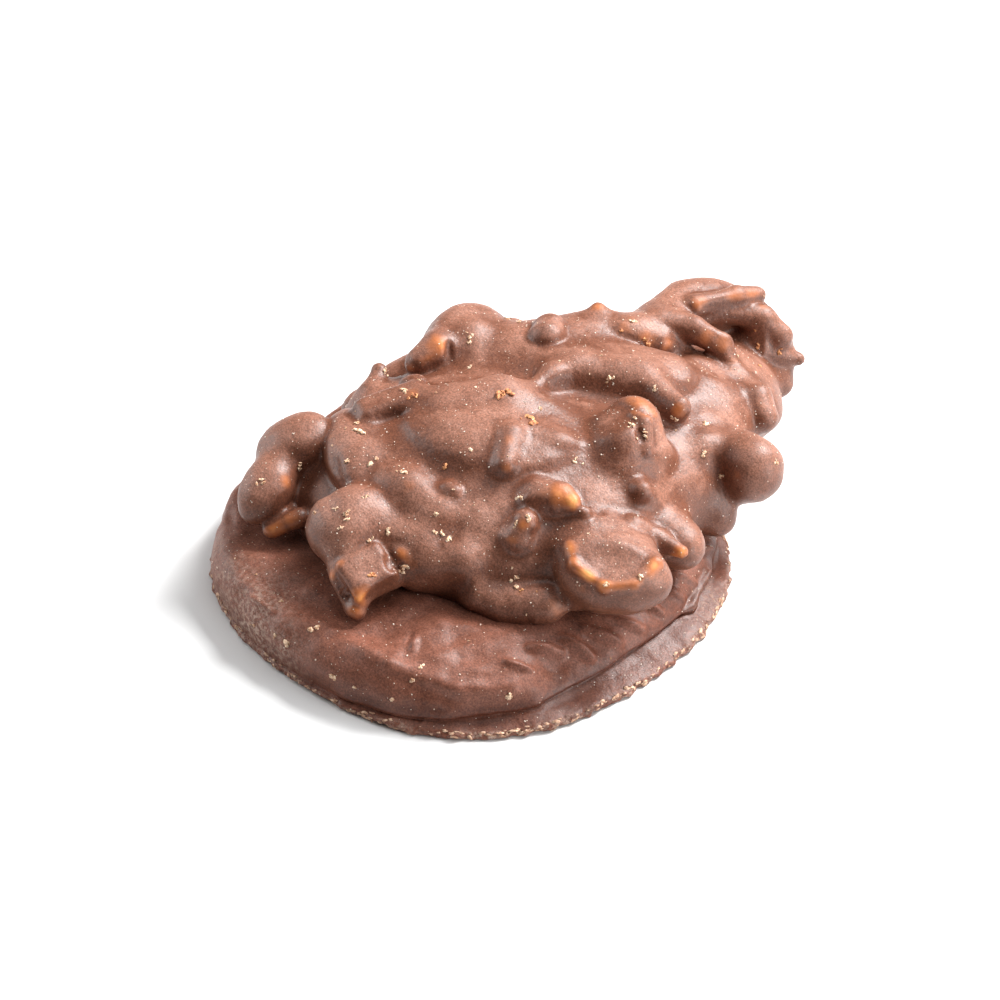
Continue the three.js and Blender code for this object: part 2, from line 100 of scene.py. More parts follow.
def along_section(stations, where):
    """Points on the smooth line through the stations, at each place counted in stations."""
    first = np.clip(np.floor(where).astype(int), 0, len(stations) - 2)
    part = (where - first)[:, None]
    columns = np.arange(len(where))

    def at(offset):
        row = np.clip(first + offset, 0, len(stations) - 1)
        return stations[row, :, columns]

    before, here, there, after = at(-1), at(0), at(1), at(2)
    step = there - here
    rise = np.clip((there - before) / 2, -2 * abs(step), 2 * abs(step))
    fall = np.clip((after - here) / 2, -2 * abs(step), 2 * abs(step))
    square, cube = part**2, part**3
    return (
        here
        + (part - 2 * square + cube) * rise
        + (3 * square - 2 * cube) * step
        + (cube - square) * fall
    )


def read_points(mesh):
    """Every point of a mesh, one to a row."""
    points = np.empty(len(mesh.vertices) * 3)
    mesh.vertices.foreach_get("co", points)
    return points.reshape(-1, 3)


def read_normals(mesh):
    """The way out of the surface at every point of a mesh."""
    normals = np.empty(len(mesh.vertices) * 3)
    mesh.vertex_normals.foreach_get("vector", normals)
    return normals.reshape(-1, 3)


def write_points(mesh, points):
    mesh.vertices.foreach_set("co", points.ravel())
    mesh.update()


def waves(points, length, seed, count=14):
    """A smooth uneven field, about one high, whose humps are that length apart."""
    draw = np.random.default_rng(seed)
    total = np.zeros(len(points))
    for _ in range(count):
        way = draw.normal(size=3)
        way *= 2 * pi / (length * draw.uniform(0.75, 1.35) * np.linalg.norm(way))
        total += np.sin(points @ way + draw.uniform(0, 2 * pi))
    return total / np.sqrt(count)


def rippled(points, ripples):
    """Waves on waves, each given by its height, its length and the seed of its draw."""
    return sum(height * waves(points, length, seed) for height, length, seed in ripples)


def swelling(points, middle, reach, heading=0):
    """One at the middle, fading out over three reaches: along the heading, across it and up."""
    turn = radians(heading)
    axes = np.array(((cos(turn), sin(turn), 0), (-sin(turn), cos(turn), 0), (0, 0, 1)))
    apart = (points - np.array(middle)) @ axes.T / np.array(reach)
    return np.exp(-(apart**2).sum(1))


def from_line(points, start, end):
    """The distance of each point from a straight line, and how far along the line it is."""
    start, end = np.array(start), np.array(end)
    way = end - start
    part = np.clip((points - start) @ way / (way @ way), 0, 1)
    return np.linalg.norm(points - start - part[:, None] * way, axis=1), part


def add_piece(name, mesh, slot=None, *nodes):
    """Puts a finished mesh in the frame, in the place of some nodes if it stands for any."""
    piece = bpy.data.objects.new(name, mesh)
    bpy.context.scene.collection.objects.link(piece)
    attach(piece, "root")
    if slot:
        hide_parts(*nodes)
    return piece


def smooth_mesh(form, name):
    """Turns a form into a mesh with a smooth skin."""
    mesh = bpy.data.meshes.new(name)
    form.to_mesh(mesh)
    form.free()
    mesh.shade_smooth()
    return mesh


sheet = bmesh.new()
bmesh.ops.create_grid(sheet, x_segments=DISC_STEPS, y_segments=DISC_ROWS, size=1)
flat = np.array([vertex.co for vertex in sheet.verts])
turn = (flat[:, 0] + 1) * pi
row = (flat[:, 1] + 1) / 2 * DISC_ROWS
profile = along_section(section(turn), np.interp(row, KEY_ROWS, KEY_STATIONS))
ground = np.stack((profile[:, 0] * np.cos(turn), profile[:, 0] * np.sin(turn), profile[:, 1]), 1)
for vertex, place in zip(sheet.verts, ground + DISC_MIDDLE):
    vertex.co = place
bmesh.ops.remove_doubles(sheet, verts=sheet.verts, dist=0.0005)
bmesh.ops.recalc_face_normals(sheet, faces=sheet.faces)
disc_mesh = smooth_mesh(sheet, "disc")

# What happened to the soft disc: long folds and pinched ripples as it crept, swells where it was
# poured, and dents. Each fold runs between two points, with its half width and height. Each swell
# has a middle, its reach along, across and up, its heading, and its height.
FOLDS = (
    ((5.9, -40.9, 7.0), (13.0, -39.6, 6.4), 1.10, 0.70),
    ((13.0, -39.6, 6.4), (20.4, -36.2, 5.4), 1.02, 0.82),
    ((20.4, -36.2, 5.4), (24.6, -31.0, 4.8), 1.02, 0.63),
    ((22.9, -25.6, 7.0), (25.2, -22.9, 5.9), 0.68, 1.42),
    ((24.3, -21.6, 6.9), (27.2, -19.8, 4.4), 0.64, 1.58),
    ((24.9, -18.2, 6.9), (27.9, -15.2, 4.4), 0.68, 1.74),
    ((25.2, -14.4, 6.9), (28.0, -11.2, 4.2), 0.64, 1.58),
    ((24.6, -9.6, 7.0), (27.6, -7.0, 4.2), 0.59, 1.42),
    ((24.6, -5.8, 6.8), (27.4, -2.6, 4.0), 0.59, 1.58),
    ((24.2, -2.0, 6.8), (26.6, 1.0, 3.8), 0.55, 1.27),
    ((25.2, 3.9, 2.9), (29.1, -5.5, 1.9), 0.38, 1.42),
    ((22.4, -29.6, 6.6), (24.7, -27.7, 5.6), 0.42, 0.94),
    ((-9.0, -43.2, 6.6), (-4.4, -43.4, 6.9), 0.30, 1.27),
    ((22.0, 1.5, 7.2), (22.9, 8.0, 3.2), 0.51, 1.42),
)
SWELLS = (
    ((12.6, -35.7, 7.6), (1.3, 0.55, 3), 130, 0.68),
    ((11.8, -35.4, 7.6), (1.2, 0.6, 3), 130, -0.42),
    ((14.4, -29.6, 7.6), (2.6, 1.2, 3), 40, 0.59),
    ((-3.5, -37.8, 7.6), (1.2, 1.0, 3), 0, 0.59),
    ((-12.5, -38.4, 7.6), (3.4, 1.5, 3), 20, 0.51),
    ((-8.0, -40.6, 7.4), (4.0, 1.2, 3), 10, -0.42),
    ((1.0, -41.5, 7.0), (3.0, 1.4, 3), 20, 0.42),
    ((8.5, -37.4, 7.6), (3.2, 1.6, 3), 30, -0.37),
    ((19.0, -32.5, 7.0), (3.0, 1.3, 3), 55, -0.51),
    ((16.2, -35.2, 7.4), (2.4, 1.2, 3), 50, 0.37),
    ((26.4, -24.9, 4.6), (2.6, 1.6, 1.6), 60, -0.59),
    ((21.8, 5.2, 5.4), (3.4, 1.4, 2.4), 80, -0.85),
    ((-22.5, -35.0, 6.6), (2.6, 1.0, 3), -40, -0.42),
    ((30.5, -6.3, 1.4), (0.75, 0.75, 2), 0, 0.59),
    ((30.5, -6.3, 1.4), (0.35, 0.35, 2), 0, -0.85),
)

# Ripples are given by height, length and seed. The ones in the disc start above its foot, and the
# ones in its rim are where it tore.
DISC_RIPPLES = ((0.22, 11, 3), (0.13, 5, 4), (0.04, 2.2, 5))
RIPPLES_FROM = 2.0
TORN_BAND, TORN_RIPPLES = 0.45, ((0.2, 1.9, 6), (0.1, 1.0, 7))
FOLD_ENDS = 0.6


def laid_over(points, heights, folds, swells):
    """Adds the folds and swells to the height that each point is lifted by."""
    for start, end, wide, height in folds:
        apart, part = from_line(points, start, end)
        fullness = FOLD_ENDS + (1 - FOLD_ENDS) * np.sin(part * pi)
        heights = heights + height * np.exp(-((apart / wide) ** 2)) * fullness
    for middle, reach, heading, height in swells:
        heights = heights + height * swelling(points, middle, reach, heading)
    return heights


points = read_points(disc_mesh)
normals = read_normals(disc_mesh)
lift = laid_over(points, rippled(points, DISC_RIPPLES), FOLDS, SWELLS)
lift *= np.clip(points[:, 2] / RIPPLES_FROM, 0, 1)
points += normals * lift[:, None]
outwards = points[:, :2] - DISC_MIDDLE[:2]
out = np.maximum(np.linalg.norm(outwards, axis=1), 1)
turn = np.arctan2(outwards[:, 1], outwards[:, 0])
from_edge = out - section(turn)[2][0]
at_rim = np.exp(-((from_edge / TORN_BAND) ** 2)) * np.clip(2 - points[:, 2], 0, 1)
torn = rippled(points, TORN_RIPPLES)
points[:, :2] += outwards / out[:, None] * (torn * at_rim)[:, None]
write_points(disc_mesh, (points + CENTRE) * MM)


def put_values(mesh, name, values):
    """Keeps one value for each point of a mesh, for its material to read."""
    layer = mesh.attributes.new(name, "FLOAT", "POINT")
    layer.data.foreach_set("value", np.clip(values, 0, 1).astype(np.float32))


# Where the pale dust of a scuffed edge lies: middle, reach and strength. The groove over the foot gets
# painted shade: its chocolate is painted darker there.
SCUFFS = (
    ((-8.0, -44.4, 4.0), 5.0, 1.0),
    ((-14.0, -43.0, 4.0), 4.0, 0.8),
    ((-2.0, -45.0, 3.0), 4.0, 0.6),
    ((-20.0, -38.5, 3.5), 3.0, 0.5),
    ((29.0, 2.0, 1.2), 3.0, 0.5),
)
SCUFF_PATCHES = (6, 8)
GROOVE_MIDDLE, GROOVE_REACH, GROOVE_SHADE = 2.2, 1.5, 0.5


def sum_of_spots(points, spots):
    """The strongest of the spots at each point."""
    total = np.zeros(len(points))
    for middle, reach, strength in spots:
        apart = ((points - np.array(middle)) ** 2).sum(1)
        total = np.maximum(total, strength * np.exp(-apart / reach**2))
    return total


patchy = np.clip(0.5 + 0.5 * waves(points, *SCUFF_PATCHES), 0, 1)
put_values(disc_mesh, "scuff", np.maximum(sum_of_spots(points, SCUFFS), at_rim * patchy))
# Painted shade: darker chocolate painted into the groove over the foot.
in_groove = np.exp(-(((points[:, 2] - GROOVE_MIDDLE) / GROOVE_REACH) ** 2))
put_values(disc_mesh, "painted_shade", GROOVE_SHADE * share(turn, FOOT_TURN) * in_groove)


def add(tree, kind, sockets=(), **settings):
    """A node with its settings, and each input set to a value or joined to another node."""
    made = tree.nodes.new("ShaderNode" + kind)
    for name, value in settings.items():
        setattr(made, name, value)
    for name, value in dict(sockets).items():
        if isinstance(value, bpy.types.NodeSocket):
            tree.links.new(value, made.inputs[name])
        else:
            made.inputs[name].default_value = value
    return made


def sum_up(tree, operation, one, other, clamp=False):
    """One sum with two values, kept between nothing and one if it is clamped."""
    made = add(tree, "Math", {0: one, 1: other}, operation=operation, use_clamp=clamp)
    return made.outputs[0]


def mixed(tree, share_of, one, other):
    """One colour turning into another with the share."""
    pair = {"Factor": share_of, "A": one, "B": other}
    return add(tree, "Mix", pair, data_type="RGBA").outputs["Result"]


def spread(tree, value, low, high, to_low=0.0, to_high=1.0):
    """Stretches a value from one range to another, without leaving it."""
    ends = {"Value": value, "From Min": low, "From Max": high, "To Min": to_low, "To Max": to_high}
    return add(tree, "MapRange", ends).outputs["Result"]


def noise(tree, place, per_metre, detail=3.0, rough=0.5):
    """Uneven patches, so many to the metre."""
    settings = {"Vector": place, "Scale": per_metre, "Detail": detail, "Roughness": rough}
    return add(tree, "TexNoise", settings).outputs["Fac"]


def opaque(colour):
    return (*colour, 1)


# How much of the set chocolate's marks there is to the metre, and how strong each mark is.
CLOUDS, PATCHES, GRAIN, SPECKS, POWDER = 210, 800, 4200, 1400, 1500
CLOUD_SHARE, PATCH_SHARE, BLOOM_EVERYWHERE = 0.35, 0.35, 0.2
# How strongly the painted shade darkens the chocolate.
PAINTED_SHADE_DARKENS = 1.25
MOST_RUBBED = 0.65
GRAIN_DARK, GRAIN_PALE = 0.66, 1.4
SPECK_RADIUS, SPECK_EDGE, SPECK_COVER = 0.15, 0.03, 0.8
SPECK_TAN, SPECK_CREAM = (0.62, 0.42, 0.30), (0.9, 0.82, 0.72)
POWDER_COVER, POWDER_DULLS, POWDER_TAN = 0.75, 0.3, (0.62, 0.46, 0.37)
BARE_ROUGH, BLOOM_ROUGH = 0.38, 0.54
GRAIN_HEIGHT, SPECK_HEIGHT, POWDER_HEIGHT = 0.35, 0.8, 1.2
RELIEF_STRENGTH, RELIEF_DEPTH = 0.5, 0.00008


def made_group():
    """How chocolate that has set and been handled looks: clouds of pale bloom over darker, redder
    chocolate, a fine grain, and specks and powder of nut that stick to it. Painted shade, kept on the
    mesh, pulls the colour towards the darkest tone."""
    group = bpy.data.node_groups.new("set_chocolate", "ShaderNodeTree")
    for name in ("Bare", "Coat", "Bloom"):
        group.interface.new_socket(name, in_out="INPUT", socket_type="NodeSocketColor")
    for name in ("Painted_shade", "Crest", "Dust"):
        group.interface.new_socket(name, in_out="INPUT", socket_type="NodeSocketFloat")
    for name, kind in (("Color", "Color"), ("Roughness", "Float"), ("Height", "Float")):
        group.interface.new_socket(name, in_out="OUTPUT", socket_type="NodeSocket" + kind)
    given = group.nodes.new("NodeGroupInput").outputs
    out = group.nodes.new("NodeGroupOutput")
    place = add(group, "TexCoord").outputs["Object"]

    def part_of(value, strength):
        return sum_up(group, "MULTIPLY", value, strength)

    clouds = spread(group, noise(group, place, CLOUDS), 0.3, 0.7)
    patches = spread(group, noise(group, place, PATCHES, 5.0, 0.7), 0.34, 0.66)
    grain = noise(group, place, GRAIN, 3.0, 0.7)
    pale = sum_up(group, "ADD", part_of(clouds, CLOUD_SHARE), part_of(patches, PATCH_SHARE))
    pale = sum_up(group, "ADD", pale, BLOOM_EVERYWHERE)
    # Painted shade pulls the colour towards the darkest tone.
    pale = sum_up(group, "SUBTRACT", pale, part_of(given["Painted_shade"], PAINTED_SHADE_DARKENS), True)
    colour = mixed(group, spread(group, pale, 0.0, 0.5), given["Bare"], given["Coat"])
    colour = mixed(group, spread(group, pale, 0.5, 1.0), colour, given["Bloom"])
    rubbed = spread(group, part_of(given["Crest"], patches), 0.08, 0.55, 0.0, MOST_RUBBED)
    colour = mixed(group, rubbed, colour, given["Bare"])
    shade = spread(group, grain, 0.38, 0.64, GRAIN_DARK, GRAIN_PALE)
    shaded = add(group, "VectorMath", {0: colour, "Scale": shade}, operation="SCALE")
    cells = add(group, "TexVoronoi", {"Vector": place, "Scale": SPECKS, "Randomness": 1.0}).outputs
    chance = add(group, "SeparateColor", {"Color": cells["Color"]}).outputs
    size = spread(group, chance["Red"], 0.4, 1.0, 0.0, SPECK_RADIUS)
    speck = spread(group, sum_up(group, "SUBTRACT", size, cells["Distance"]), 0.0, SPECK_EDGE)
    tint = mixed(group, chance["Green"], opaque(SPECK_TAN), opaque(SPECK_CREAM))
    colour = mixed(group, part_of(speck, SPECK_COVER), shaded.outputs["Vector"], tint)
    powder = spread(group, noise(group, place, POWDER, 5.0, 0.75), 0.46, 0.62)
    powder = part_of(powder, given["Dust"])
    colour = mixed(group, part_of(powder, POWDER_COVER), colour, opaque(POWDER_TAN))
    group.links.new(colour, out.inputs["Color"])
    dull = spread(group, pale, 0.0, 1.0, BARE_ROUGH, BLOOM_ROUGH)
    dull = sum_up(group, "ADD", dull, part_of(powder, POWDER_DULLS), True)
    group.links.new(dull, out.inputs["Roughness"])
    height = sum_up(group, "ADD", part_of(grain, GRAIN_HEIGHT), patches)
    height = sum_up(group, "ADD", height, part_of(speck, SPECK_HEIGHT))
    height = sum_up(group, "ADD", height, part_of(powder, POWDER_HEIGHT))
    group.links.new(height, out.inputs["Height"])
    return group


set_chocolate = made_group()


def chocolate(name, bare, coat, bloom, sheen):
    """A chocolate of three tones that follows the values kept on its mesh."""
    material = bpy.data.materials.new(name)
    material.use_nodes = True
    tree = material.node_tree
    shader = tree.nodes["Principled BSDF"]
    look = add(tree, "Group", node_tree=set_chocolate)
    tones = {"Bare": bare, "Coat": coat, "Bloom": bloom}
    for socket, colour in tones.items():
        look.inputs[socket].default_value = opaque(colour)
    for socket, kept in (("Painted_shade", "painted_shade"), ("Crest", "crest"), ("Dust", "scuff")):
        value = add(tree, "Attribute", attribute_name=kept).outputs["Fac"]
        tree.links.new(value, look.inputs[socket])
    tree.links.new(look.outputs["Color"], shader.inputs["Base Color"])
    tree.links.new(look.outputs["Roughness"], shader.inputs["Roughness"])
    marks = {"Height": look.outputs["Height"], "Strength": RELIEF_STRENGTH, "Distance": RELIEF_DEPTH}
    tree.links.new(add(tree, "Bump", marks).outputs["Normal"], shader.inputs["Normal"])
    shader.inputs["Specular IOR Level"].default_value = sheen
    return material, look


# The dark chocolate's bare, coated and bloomed tones, and its shine.
DARK_TONES = (0.100, 0.031, 0.017), (0.177, 0.064, 0.039), (0.25, 0.102, 0.070)
DARK_SHINE = 0.3
disc = add_piece("chocolate_disc", disc_mesh, "base_chocolate", "base")
disc.data.materials.append(chocolate("dark_milk_chocolate", *DARK_TONES, DARK_SHINE)[0])

# The heap: pecan halves and broken pieces, roasted, tossed in milk chocolate and dropped in a
# heap on the disc before it set, so that one coat runs over them all.
PECANS = {}
Nut = namedtuple("Nut", "kind middle size turned blend edge")
Ridge = namedtuple("Ridge", "kind foot foot_radius tip tip_radius blend")


def pecan(name, middle, size, heading, tilt, blend, roll=0):
    """A round nut: its middle, its three sizes, how it lies, and how softly the coat joins it."""
    PECANS[name] = Nut("pecan", middle, size, (roll, tilt, heading), blend, 0)


def hollow(name, middle, size, heading, tilt, blend, roll=0):
    """A dip of a round nut's shape."""
    PECANS[name] = Nut("hollow", middle, size, (roll, tilt, heading), blend, 0)


def block(name, middle, size, heading, tilt, blend, edge, roll=0):
    """A broken piece with flat faces and edges of that radius."""
    PECANS[name] = Nut("block", middle, size, (roll, tilt, heading), blend, edge)


def ridge(name, foot, foot_radius, tip, tip_radius, blend):
    """A lobe of a nut half, from one round end to the other."""
    PECANS[name] = Ridge("ridge", foot, foot_radius, tip, tip_radius, blend)


# The nuts underneath that the ones in sight lie on.
pecan("body_middle", (-2.5, -7.5, 8), (47.8, 43.8, 25.2), 45, 0, 4)
pecan("body_left", (-10.5, -22, 9), (19.8, 18.8, 11.6), 45, 0, 4)
pecan("body_front", (10, -13.5, 9), (30.8, 20.8, 16.6), 45, 0, 4)
pecan("body_right", (11, -0.8, 9), (21.4, 24.8, 19.1), 45, 0, 4)
pecan("body_right_back", (9.5, 13.5, 9), (21.8, 25.8, 16.1), 45, 0, 6)
pecan("body_back", (-10, 7.5, 10), (31.8, 19.8, 16.6), 45, 0, 4)
pecan("body_tail", (2.5, 26, 8), (24.8, 20.8, 13.1), 80, 0, 6)

# The two nuts over the left edge, the thumb of the front one and the broken chunk on its end.
pecan("left_low", (-17.6, -32.6, 12.8), (9.9, 6.8, 6.4), 105, 31, 0.9)
pecan("left_up", (-19.7, -25.9, 15.2), (11.1, 8.6, 7), 60, 29, 1.8)
ridge("left_under", (-14.4, -34.7, 9.6), 1.35, (-12.2, -31.8, 11), 1.35, 0.4)
pecan("left_behind", (-23.5, -26.5, 11), (5, 4, 4), 40, 40, 0.72)
ridge("front_thumb", (-4.7, -31.6, 13.2), 4.4, (-4, -30.3, 14), 4.2, 1.5)
ridge("thumb_low", (-2.1, -32.4, 12.6), 3.9, (-0.2, -33.6, 11), 3.4, 1.5)
ridge("thumb_roof", (-3.3, -27.5, 13.4), 3.6, (4.5, -26.8, 12.4), 2.8, 3.5)
block("chunk", (2.6, -34, 11.5), (6.4, 5.6, 4.4), 75, 14, 0.6, 0.9, 25)
ridge("chunk_point", (3.4, -35.6, 10.4), 2.3, (3.9, -37.1, 8.4), 1.3, 0.8)
ridge("chunk_left", (0.3, -36.7, 11.2), 1, (2.8, -37.1, 8.4), 0.9, 0.7)
ridge("chunk_collar", (1.8, -30, 12.8), 1.2, (4.2, -29.3, 12.7), 1.2, 0.7)
ridge("chunk_collar_end", (4.4, -29.5, 12.9), 1.1, (5.4, -29.3, 10.8), 0.9, 0.7)
ridge("front_brow", (5.1, -28.2, 10.3), 2, (9.9, -24.7, 12.4), 2.2, 2.5)

# The long oval nut, and the row of small ones behind it up to the back.
pecan("oval", (-11.8, -22.2, 16.3), (17, 8.4, 6.4), -34, -2, 0.8)
pecan("oval_fill", (-8.9, -19.9, 16.4), (13.4, 7, 5), -23, 0, 3)
block("arch", (-12.9, -15, 19.3), (10, 4.6, 3.8), 69, 5, 0.9, 1.5)
pecan("small_lip", (-14, -10.2, 19.8), (4, 3, 2.5), 35, 15, 0.6)
pecan("far_left", (-20.7, -10.4, 13.4), (5.5, 5.4, 5.5), 65, 15, 3)
ridge("far_left_tip", (-21.4, -10.3, 15.2), 1.8, (-22.6, -8.2, 16.6), 1.1, 0.96)
ridge("slab", (-18.4, -4.7, 18.4), 2, (-18, -2, 19.4), 2.2, 0.7)
pecan("dome_back", (-19.8, 4.9, 16.8), (12, 8.6, 9.6), 75, 0, 4)
ridge("nose", (-17.5, 1.7, 18.1), 2.5, (-17.1, 3.1, 19.1), 2.4, 0.96)
ridge("back_tip", (-8.7, 19.6, 18.4), 1.6, (-8.7, 19.1, 20.4), 0.5, 1.2)

# The curved half that lies across the middle, and the flat coat behind it.
ridge("long_a", (-1.8, -0.8, 20.4), 1, (-2.1, 3.5, 20.1), 1.6, 1.5)
ridge("long_b", (-2.1, 3.5, 20.1), 1.6, (-1.3, 7.5, 19.6), 2, 1.5)
ridge("long_c", (-1.3, 7.5, 19.6), 2, (5.6, 11.9, 19.1), 2.2, 1.5)
ridge("long_d", (5.6, 11.9, 19.1), 2.2, (13, 11.1, 19), 1.7, 1.5)
pecan("back_slope", (-12.6, 5.8, 17.7), (16.7, 8, 5.4), 53, 3, 4)
pecan("long_back", (1.6, 12.6, 18), (19, 11, 5.4), 42, 0, 3)
pecan("long_back_left", (-6.6, 7.6, 17.8), (12, 9, 5), 35, 0, 3)

# The tall nut with its beak, and the flat ones at its foot.
ridge("tall", (11.8, 1.9, 19.3), 4, (11.6, 3.9, 19.5), 3.6, 0.9)
ridge("tall_right", (13.1, 3.9, 19), 3.2, (15.7, 4, 16.7), 2.4, 1.2)
ridge("tall_low", (14.1, 0, 18.4), 3, (15.6, 1.2, 17), 2.6, 2)
pecan("tall_left", (11.7, 0.2, 17.5), (12.1, 7, 5), -23, 1, 2.5)
ridge("tall_beak", (12.7, 2.3, 22.4), 1, (14.6, 2.8, 21.6), 0.9, 0.7)
ridge("tall_beak_end", (14.8, 2.6, 21.8), 0.9, (16.8, 0.9, 19.4), 0.9, 0.7)
pecan("plate", (0.4, -10, 19.5), (19, 13, 5), 26, -1, 5)
ridge("plate_edge", (-6.5, -9.8, 19.7), 2.4, (-3.1, -5.1, 20), 2.4, 3)
ridge("plate_edge_right", (-3.2, -5, 19.9), 2.2, (4.6, -4.7, 19.4), 2, 3)
ridge("snout", (5.2, -6.7, 19.8), 2.4, (8.1, -5.9, 19.8), 2, 1.2)
ridge("prow", (4.6, -10.8, 21.3), 1.8, (6.9, -14.3, 20.3), 1.5, 1.1)

# The small nuts down to the front, where the coat is thinnest.
ridge("glow", (12.5, -13.7, 17.5), 2.8, (14.7, -12.7, 18.1), 2.3, 1.2)
ridge("glow_tip", (14.7, -12.7, 18.1), 2.3, (16.8, -12.5, 18.6), 1.2, 0.8)
ridge("small_peg", (13.9, -18.8, 15.7), 2.2, (14.1, -18, 17.2), 1.7, 1)
ridge("spine", (-3.4, -23.6, 16.1), 2.3, (-0.9, -23.3, 16.1), 2.3, 2)
ridge("spine_right", (-1, -23.3, 16.1), 2.5, (4.1, -22.8, 15.7), 2, 2.5)
ridge("drop", (3.4, -20.6, 18.1), 0.9, (4.3, -20.6, 18.1), 0.8, 1)
ridge("front_lobe", (15.5, -22.8, 7.9), 2.9, (19.9, -20.2, 8.8), 2.5, 1.2)
ridge("lobe_tip", (19.9, -20.2, 8.8), 2.5, (22.8, -18, 9.6), 1.1, 0.72)
ridge("lobe_top", (12.4, -24.5, 8.9), 2.6, (16.8, -21.5, 7.4), 2.6, 1.2)

# The dished nut that hangs over the right edge, with its lip, its fins and the ball behind it.
pecan("rim_nut", (25.2, -13.6, 11.9), (14.2, 8.8, 8.6), 38, 2, 0.9)
ridge("rim_back", (19.4, -12.2, 14.4), 2.4, (22.5, -7.1, 11.7), 2.6, 2.5)
pecan("rim_fill", (22.3, -12.2, 13.8), (13, 9, 5.2), 38, -6, 2.5)
ridge("rim_left", (20, -16.1, 15.6), 0.9, (22.3, -17.4, 15), 0.9, 0.7)
ridge("rim_lip", (22.6, -17.8, 15.4), 0.9, (26.8, -16.8, 13.8), 0.9, 0.7)
ridge("rim_lip_right", (27, -17, 14.1), 0.9, (29.2, -14.4, 14.2), 0.8, 0.7)
ridge("rim_corner", (29.1, -13.3, 14.7), 0.9, (29.1, -10.6, 14.9), 1, 0.7)
ridge("knob", (18.4, -11.6, 16.2), 1.5, (18.3, -11.8, 17.4), 0.9, 0.6)
pecan("fin_back", (23.6, -0.6, 9.8), (9, 7, 6.4), -20, 0, 2.5)
ridge("sliver_a", (20.6, -17.4, 12.6), 0.45, (22.2, -16.7, 12.8), 0.5, 0.4)
ridge("sliver_b", (22.2, -16.7, 12.8), 0.5, (24.3, -17.3, 11.4), 0.45, 0.4)
ridge("fin", (22, -6.7, 14.5), 1.4, (24.1, -4.1, 12), 1.5, 0.8)
ridge("fin_tip", (24.6, -4.7, 12.6), 1.5, (27.8, -4.1, 12.4), 0.8, 0.8)
ridge("small_peak", (18.8, -1.6, 14.5), 2.6, (19.6, -2.7, 16.8), 1.3, 1.5)
pecan("ball", (22.8, 14.9, 12.2), (8.3, 8.3, 9), 109, 0, 0.84)
ridge("ball_neck", (17.2, 12.2, 13.6), 2.4, (19.7, 15.6, 13.4), 2.4, 2)
ridge("right_lip_a", (9.2, 27.5, 14.2), 1.4, (12.9, 27.4, 13), 1.4, 0.72)
ridge("right_lip_b", (12.9, 27.4, 13), 1.4, (15.6, 26, 11), 1.5, 0.72)
pecan("lip_fill", (8.7, 25, 10.9), (18.2, 11, 7), 68, -26, 4)

# The tail: a curled half, three folds side by side, and the nuts under them.
ridge("curl_a", (-1.8, 24.3, 18.8), 1.4, (1.8, 26.8, 18.2), 1.7, 0.6)
ridge("curl_b", (1.8, 26.8, 18.2), 1.7, (5.4, 28.4, 16.6), 1.7, 0.6)
ridge("curl_c", (5.4, 28.4, 16.6), 1.7, (8.2, 28.1, 14), 1.1, 0.6)
pecan("tail_top", (-3.3, 35.4, 15.4), (12, 8.5, 7.5), 64, -9, 1.2)
pecan("tail_root", (-3, 27, 16.6), (10, 7, 6), -80, 10, 2.5)
ridge("tail_ridge", (-1.3, 30.6, 18.6), 1.5, (0.6, 36.5, 18.2), 1.5, 0.6)
ridge("tail_ridge_end", (0.6, 36.5, 18.2), 1.5, (1.4, 40, 17.2), 1.3, 0.6)
ridge("tail_ridge_corner", (0.7, 40, 16.6), 1.3, (0.2, 42.5, 16.2), 0.5, 0.8)
ridge("tail_ridge_low", (1, 40.5, 16), 1.3, (2.2, 40.9, 15.2), 0.6, 0.8)
ridge("tail_crest", (-1.6, 31.5, 16.4), 1.6, (0.8, 36, 16.4), 1.8, 0.6)
ridge("tail_crest_mid", (0.8, 36, 16.4), 1.8, (3.9, 38.6, 15), 1.9, 0.6)
ridge("tail_crest_end", (3.9, 38.6, 15), 1.9, (6.3, 39.7, 13), 1.8, 1)
ridge("tail_bulk", (-1.4, 35.3, 8), 4.2, (3.1, 39.8, 7), 4.2, 3)
ridge("tail_low_right", (3.2, 37.9, 8), 4.2, (7.1, 38.3, 6.5), 2.5, 2)
ridge("tail_shoulder", (4.1, 38.6, 12.6), 2.6, (5, 41.3, 12.2), 1.4, 0.9)
ridge("tail_tip", (5.7, 38.5, 10.6), 2.8, (8.7, 41.2, 9.6), 0.8, 0.9)
ridge("tail_end", (2.5, 38, 9.6), 3.6, (4.8, 40.1, 9), 3, 2)

# The nuts round the back.
pecan("back_tip_body", (-8, 14.5, 16.9), (18, 9, 6.6), -125, 0, 3)
pecan("back_edge", (-6.8, 18.5, 16.8), (17, 6, 6), 54, -4, 2.5)
pecan("back_long", (-24, 0, 11), (15, 7, 6.5), 80, 0, 1.8)
pecan("back_low", (-25.6, -7.4, 9), (8, 6, 5), 65, 10, 1.5)
pecan("back_round", (-20, 13.5, 11.5), (8, 7.5, 7.5), 50, 10, 1.8)
pecan("back_crossed", (-14, 21, 11), (11, 6, 6), 20, 15, 1.6)
pecan("back_foot", (-18.5, 19, 9), (8, 6, 5), 60, 0, 1.5)
pecan("tail_side", (-9, 30.5, 10.5), (9.5, 6.5, 6), 75, 10, 1.08)
pecan("tail_low", (-3, 38, 8), (8, 7, 6), 120, 5, 2)
pecan("tail_under", (6, 31, 6.5), (11, 7, 6), 60, 0, 2)
ridge("tail_back", (-4.8, 26.4, 16), 2.6, (-4.8, 31.9, 16), 3, 3)
pecan("under_ball", (21.1, 10.3, 6), (5, 5, 5.6), 60, 0, 3)
